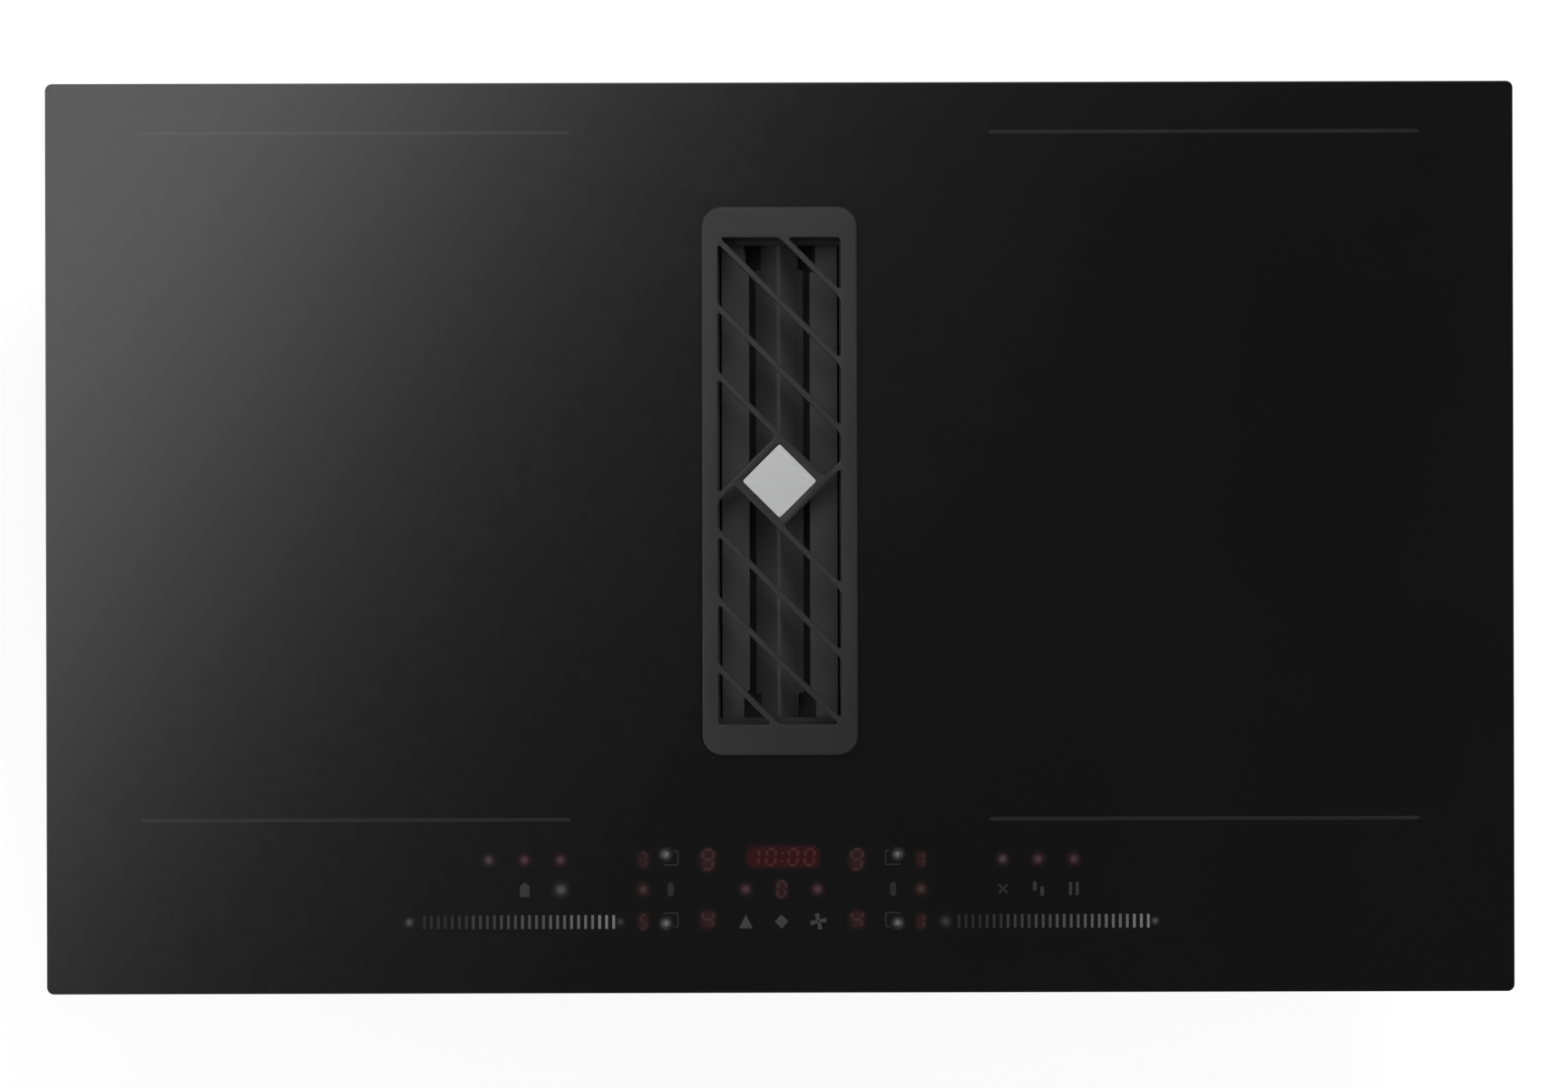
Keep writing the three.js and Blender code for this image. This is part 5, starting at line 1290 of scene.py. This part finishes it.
def build_ribs():
    """The web of ribs under the tub."""
    ribs = Form()

    def rib(start, end):
        ribs.bar(start, end, RIB, RIB_HEIGHT, 0.0, 0.3)

    for radius in (22, 44, 66, 88, 101):
        inner, outer = radius - 1, radius + 1
        profile = [(inner, 0), (outer, 0), (outer, RIB_HEIGHT), (inner, RIB_HEIGHT)]
        ribs.turned(profile, *BLOWER, count=72)
    for k in range(12):
        angle = 2 * math.pi * k / 12
        across = Vector((math.cos(angle), math.sin(angle)))
        rib(Vector(BLOWER) + across * 22.5, Vector(BLOWER) + across * 100.5)
    half_x, half_y = SUMP[0] / 2 - 6, SUMP[1] / 2 - 6
    for y in row_of(VENT_Y, 8, half_y / 4):
        rib((-half_x, y), (half_x, y))
    for x in row_of(0, 4, half_x * 2 / 3):
        rib((x, VENT_Y - half_y), (x, VENT_Y + half_y))
    for x in row_of(-235, 6, 34):
        rib((x, 118), (x, 206))
    for y, end in ((118, -145.0), (162, -133.0), (206, -120.5)):
        rib((-320, y), (end, y))
    rib((-145.5, 117.2), (-120.2, 206.8))
    add_form(ribs, "shell_ribs", "black_plastic")


def build_housing_joint():
    """The two shells meet in a turned-out flange on each side of the plate, held by bosses."""
    flange, bosses, lower, upper = Form(), Form(), [], []
    for back, levels in ((LOWER_BACK, LOWER_FLANGE), (UPPER_BACK, UPPER_FLANGE)):
        for path in wall_paths(back):
            flange.rail(path, -0.6, 3.4, *levels)
    add_form(flange, "housing_flange", "black_plastic")
    for path in wall_paths(UPPER_BACK):
        lengths = [0.0]
        for a, b in zip(path, path[1:]):
            lengths.append(lengths[-1] + (Vector(b) - Vector(a)).length)
        for n in range(BOSSES):
            goal = lengths[-1] * (n + 0.35) / BOSSES
            i = max(k for k, total in enumerate(lengths) if total <= goal)
            a, b = Vector(path[i]), Vector(path[i + 1])
            along = (b - a).normalized()
            out = Vector((along.y, -along.x))
            spot = a + along * (goal - lengths[i]) + out * BOSS_OFFSET
            outline = circle(BOSS, *spot, 20)
            bosses.slab(outline, BOSS_BOTTOM, LOWER_FLANGE[1], 0.4, 2, both=True)
            bosses.slab(outline, UPPER_FLANGE[0], BOSS_TOP, 0.4, 2, both=True)
            lower.append((*spot, BOSS_BOTTOM))
            upper.append((*spot, BOSS_TOP))
    add_form(bosses, "housing_bosses", "black_plastic")
    add_screws("housing_screws", lower, 3.3, (0, 0, -1))
    add_screws("housing_nuts", upper, 3.3, (0, 0, 1), hexagon=True)


def build_fins():
    """Upright ribs on the walls of both shells."""
    scroll, sump = wall_paths(UPPER_BACK)
    roots = []
    for path, step in ((scroll, 7), (sump, 6)):
        for i in range(2, len(path) - 2, step):
            along = (Vector(path[i + 1]) - Vector(path[i])).normalized()
            roots.append((Vector(path[i]), Vector((along.y, -along.x))))
    roots += [(Vector((SUMP[0] / 2, y)), Vector((1, 0))) for y in row_of(VENT_Y, 7, 40)]
    left = BLOWER[0] - SCROLL[1] - HOUSING_WALL
    roots += [(Vector((left, y)), Vector((-1, 0))) for y in (30, 70, 105)]
    fins = Form()
    for root, out in roots:
        for bottom, top in FIN_LEVELS:
            fins.bar(root - out * 0.8, root + out * 2.4, FIN, bottom, top, 0.4)
    add_form(fins, "housing_fins", "black_plastic")


def build_spigot_details():
    """Screws in the flange, and a bead near the mouth that holds the flat duct."""
    x, end, z = SPIGOT
    spots = [(x + side * (SPIGOT_SIZE[0] / 2 + 4.6), 215.3, z + dz)
             for side in (-1, 1) for dz in (-34, 0, 34)]
    add_screws("spigot_screws", spots, 3.0, (0, 1, 0))
    bead = Form()
    base = rounded_rect(*SPIGOT_SIZE, 5, steps=6)
    profile = [(-0.5, -1.8), (0.4, -1.4), (1.1, -0.6), (1.1, 0.6), (0.4, 1.4), (-0.5, 1.8)]
    for level in (end - 6, end - 24):
        bead.hoop([bead.ring(grown(base, out), -level + along) for out, along in profile])
    bead.turn(Matrix.Translation((x, 0, z)) @ Matrix.Rotation(math.radians(90), 4, "X"))
    add_form(bead, "spigot_bead", "grey_plastic")


COVER_FACE = 212.8


def build_terminal_details():
    """Screws of the box and its cover, and a raised frame on the underside of the box."""
    x, y = TERMINAL
    width, length = TERMINAL_SIZE
    spots = corners_of(x, y, TERMINAL_BOTTOM, width / 2 - 7, length / 2 - 7)
    add_screws("terminal_box_screws", spots, 3.2, (0, 0, -1))
    raised = Form()
    outer = rounded_rect(width - 30, length - 30, 5, x, y, 5)
    inner = rounded_rect(width - 34, length - 34, 3, x, y, 5)
    raised.slab(outer, TERMINAL_BOTTOM - 0.9, TERMINAL_BOTTOM + 0.3, 0.3, 2, [inner], both=True)
    add_form(raised, "terminal_box_frame", "grey_plastic")
    spots = [(x + dx, COVER_FACE, 104) for dx in (-50, 50)]
    add_screws("terminal_cover_screws", spots, 3.2, (0, 1, 0), "cover")


# ---------------------------------------------------------------- coils
TURNS = 13
SQUARENESS = 2.9  # 2 makes an oval, more a rounder rectangle


def build_coils():
    """Each winding is one flat spiral of stranded wire, from the eye out."""
    low, high = COIL_LEVELS
    steps = 56
    radius = (high - low) / 2
    last = TURNS * steps
    for side, side_word in ((-1, "left"), (1, "right")):
        for row, row_word in ((-1, "front"), (1, "rear")):
            x, y = side * BAY[0], BAY[1] + row * COIL_STEP
            path = []
            for i in range(last + 1):
                size = [
                    eye + 2 * radius + (whole - eye - 4 * radius) * i / last
                    for eye, whole in zip(COIL_EYE, COIL)
                ]
                angle = 2 * math.pi * i / steps
                c, s = math.cos(angle), math.sin(angle)
                reach = (abs(c) ** SQUARENESS + abs(s) ** SQUARENESS) ** (-1 / SQUARENESS) / 2
                path.append((x + size[0] * reach * c, y + size[1] * reach * s, (low + high) / 2))
            form = Form()
            form.tube(path, radius)
            stand_in(form, f"coil_winding_{row_word}_{side_word}", "copper")


# ---------------------------------------------------------------- build everything
build_glass()
build_zone_lines()
build_lamps()
build_digits()
build_icons()
build_sliders()
build_grille()
build_pan()
build_pan_details()
build_ribs()
build_housing_joint()
build_fins()
build_spigot_details()
build_terminal_details()
build_coils()

dressed("blower_lower_shell", "black_plastic", 0.8, change=raised_underside)
dressed("filter_frame", "filter", 0.3, [MATERIALS["filter_rim"]])
build_board_parts()
build_filter_rivets()
build_board("mains_filter_board", BOARD_TOP)
build_board("touch_board", BOARD_THICK)
for node, slot, bevel in [
    ("rim_seal", "seal", 0.5), ("vent_collar", "black_plastic", 0.3),
    ("filter_ridge_baffle", "filter", 0.25), ("drip_tray", "tray", 0.4),
    ("intake_duct", "black_plastic", 0.5), ("duct_gasket", "seal", 0.6),
    ("control_carrier", "black_plastic", 0.4), ("volute_plate", "grey_plastic", 0.4),
    ("blower_upper_shell", "black_plastic", 1.0), ("outlet_spigot", "grey_plastic", 0.6),
    ("inlet_mouth", "grey_plastic", 0.5), ("impeller", "grey_plastic", 0.2),
    ("motor_stator", "motor", 0.4), ("motor_rotor", "motor", 0.5), ("motor_shaft", "motor", 0.3),
    ("terminal_box", "grey_plastic", 0.5), ("terminal_block", "white_plastic", 0.3),
    ("terminal_cover", "grey_plastic", 0.5), ("terminal_hinge_pin", "motor", 0.2),
    ("cable_gland", "black_plastic", 0.6),
]:
    dressed(node, slot, bevel)
for word in ("left", "right"):
    baffle_cuts = (VENT_Y - HEM_END, VENT_Y + HEM_END)
    dressed("filter_baffle_" + word, "filter", 0.3, change=squarer_baffle, cuts=baffle_cuts)
    build_board("power_board_" + word, BOARD_TOP, 36, 23.8)
    for node, slot, bevel in [
        ("grease_trough_", "filter", 0.2), ("insulation_sheet_", "insulation", 0.6),
        ("coil_shelf_", "aluminium", 0.4), ("heatsink_", "aluminium", 0.2),
        ("fan_frame_", "black_plastic", 0.5), ("fan_rotor_", "grey_plastic", 0.3),
    ]:
        dressed(node + word, slot, bevel)
    for row in ("front", "rear"):
        dressed(f"coil_carrier_{row}_{word}", "black_plastic", 0.5)
        dressed(f"temperature_probe_{row}_{word}", "white_plastic", 0.3)
        dressed(f"fixing_clip_{row}_{word}", "motor", 0.2)


# ---------------------------------------------------------------- studio
LAMP_WAY = (-0.823, 0.569)  # in plan, from the middle towards the lamp
LAMP_EDGE = 0.139  # tangent of the lean at which the rise is at half of LAMP_FULL
LAMP_SOFTNESS = 32.0  # a greater number makes the lamp's edge sharper
LAMP_FULL = 4.4  # where the rise would end
LAMP_CAP = 3.3  # the brightness it is kept under
LAMP_END = (0.35, 0.62)  # tangents between which its far side fades


def build_world():
    """Plain light for matt surfaces, and for glossy ones a pale room with a dark ceiling and one
    broad soft lamp over the rear left corner, which is what the black glass shows."""
    world = bpy.data.worlds.new("studio")
    bpy.context.scene.world = world
    tree = Tree(world)
    tree.nodes.clear()
    maths = tree.maths
    split = tree.add("SeparateXYZ", {0: tree.add("TexCoord").outputs["Generated"]})
    x, y, z = split.outputs
    high = maths("MAXIMUM", z, 0.02)
    lamp_x, lamp_y = LAMP_WAY
    slant = maths("ADD", maths("MULTIPLY", x, lamp_x), maths("MULTIPLY", y, lamp_y))
    across = maths("ADD", maths("MULTIPLY", x, lamp_y), maths("MULTIPLY", y, -lamp_x))
    lean = maths("DIVIDE", slant, high)
    aside = maths("ABSOLUTE", maths("DIVIDE", across, high))
    drop = maths("EXPONENT", maths("MULTIPLY", maths("SUBTRACT", LAMP_EDGE, lean), LAMP_SOFTNESS))
    near = maths("MINIMUM", maths("DIVIDE", LAMP_FULL, maths("ADD", 1.0, drop)), LAMP_CAP)
    lamp = maths("MULTIPLY", near, tree.span(lean, 1.0, 0.0, *LAMP_END))
    sides = tree.ramp(aside, (0.55, grey(1.0)), (0.95, grey(0.0)))
    room = tree.ramp(
        z, (0.0, grey(0.80)), (0.25, grey(0.62)), (0.5, grey(0.30)), (0.8, grey(0.12)),
        (0.97, grey(0.07)), (1.0, grey(0.06)),
    )
    mirror = tree.add("Background", {"Strength": maths("ADD", maths("MULTIPLY", lamp, sides), room)})
    plain = tree.add("Background", {"Color": (0.6, 0.6, 0.6, 1)})
    white = tree.add("Background", {"Color": (1, 1, 1, 1)})
    rays = tree.add("LightPath").outputs
    seen = maths("MAXIMUM", rays["Is Camera Ray"], rays["Is Transmission Ray"])
    lit = tree.blend(rays["Is Glossy Ray"], plain.outputs[0], mirror.outputs[0])
    tree.add("OutputWorld", {"Surface": tree.blend(seen, lit, white.outputs[0])})


def add_lamp(name, position, size, power):
    data = bpy.data.lights.new(name, "AREA")
    data.shape = "DISK"
    data.size = size
    data.energy = power
    lamp = in_scene(name, data)
    lamp.location = position
    lamp.rotation_euler = (-Vector(position)).to_track_quat("-Z", "Y").to_euler()
    lamp.visible_glossy = False


def build_floor():
    """A pale floor just under the housing. It shows as white and still takes the shadow."""
    form = Form()
    form.slab(circle(14000, 0, 0, 96), -12.0, -1.0, 2.0, 2)
    tree = Paint("pale_floor")
    tone = tree.noise(3, 3)
    tree.set(Base_Color=tree.ramp(tone, (0.3, grey(0.77)), (0.7, grey(0.80))), Roughness=0.9)
    paper = tree.add("BsdfDiffuse", {"Color": (0.30, 0.30, 0.30, 1)})
    light = tree.add("Emission", {"Color": (1, 1, 1, 1), "Strength": 0.79})
    bright = tree.add("AddShader", {0: paper.outputs[0], 1: light.outputs[0]})
    rays = tree.add("LightPath").outputs
    clear = tree.maths("MAXIMUM", rays["Is Camera Ray"], rays["Is Transmission Ray"])
    seen = tree.maths("MAXIMUM", clear, rays["Is Glossy Ray"])
    both = tree.blend(seen, tree.surface.outputs[0], bright.outputs[0])
    tree.feed(tree.nodes["Material Output"].inputs["Surface"], both)
    form.make("floor", tree.material, weight=False)


build_world()
build_floor()
add_lamp("key_lamp", (0.6, 1.2, 2.1), 1.4, 30)
add_lamp("fill_lamp", (-1.6, -1.5, 1.5), 2.0, 10)
bpy.context.scene.view_settings.view_transform = "Standard"
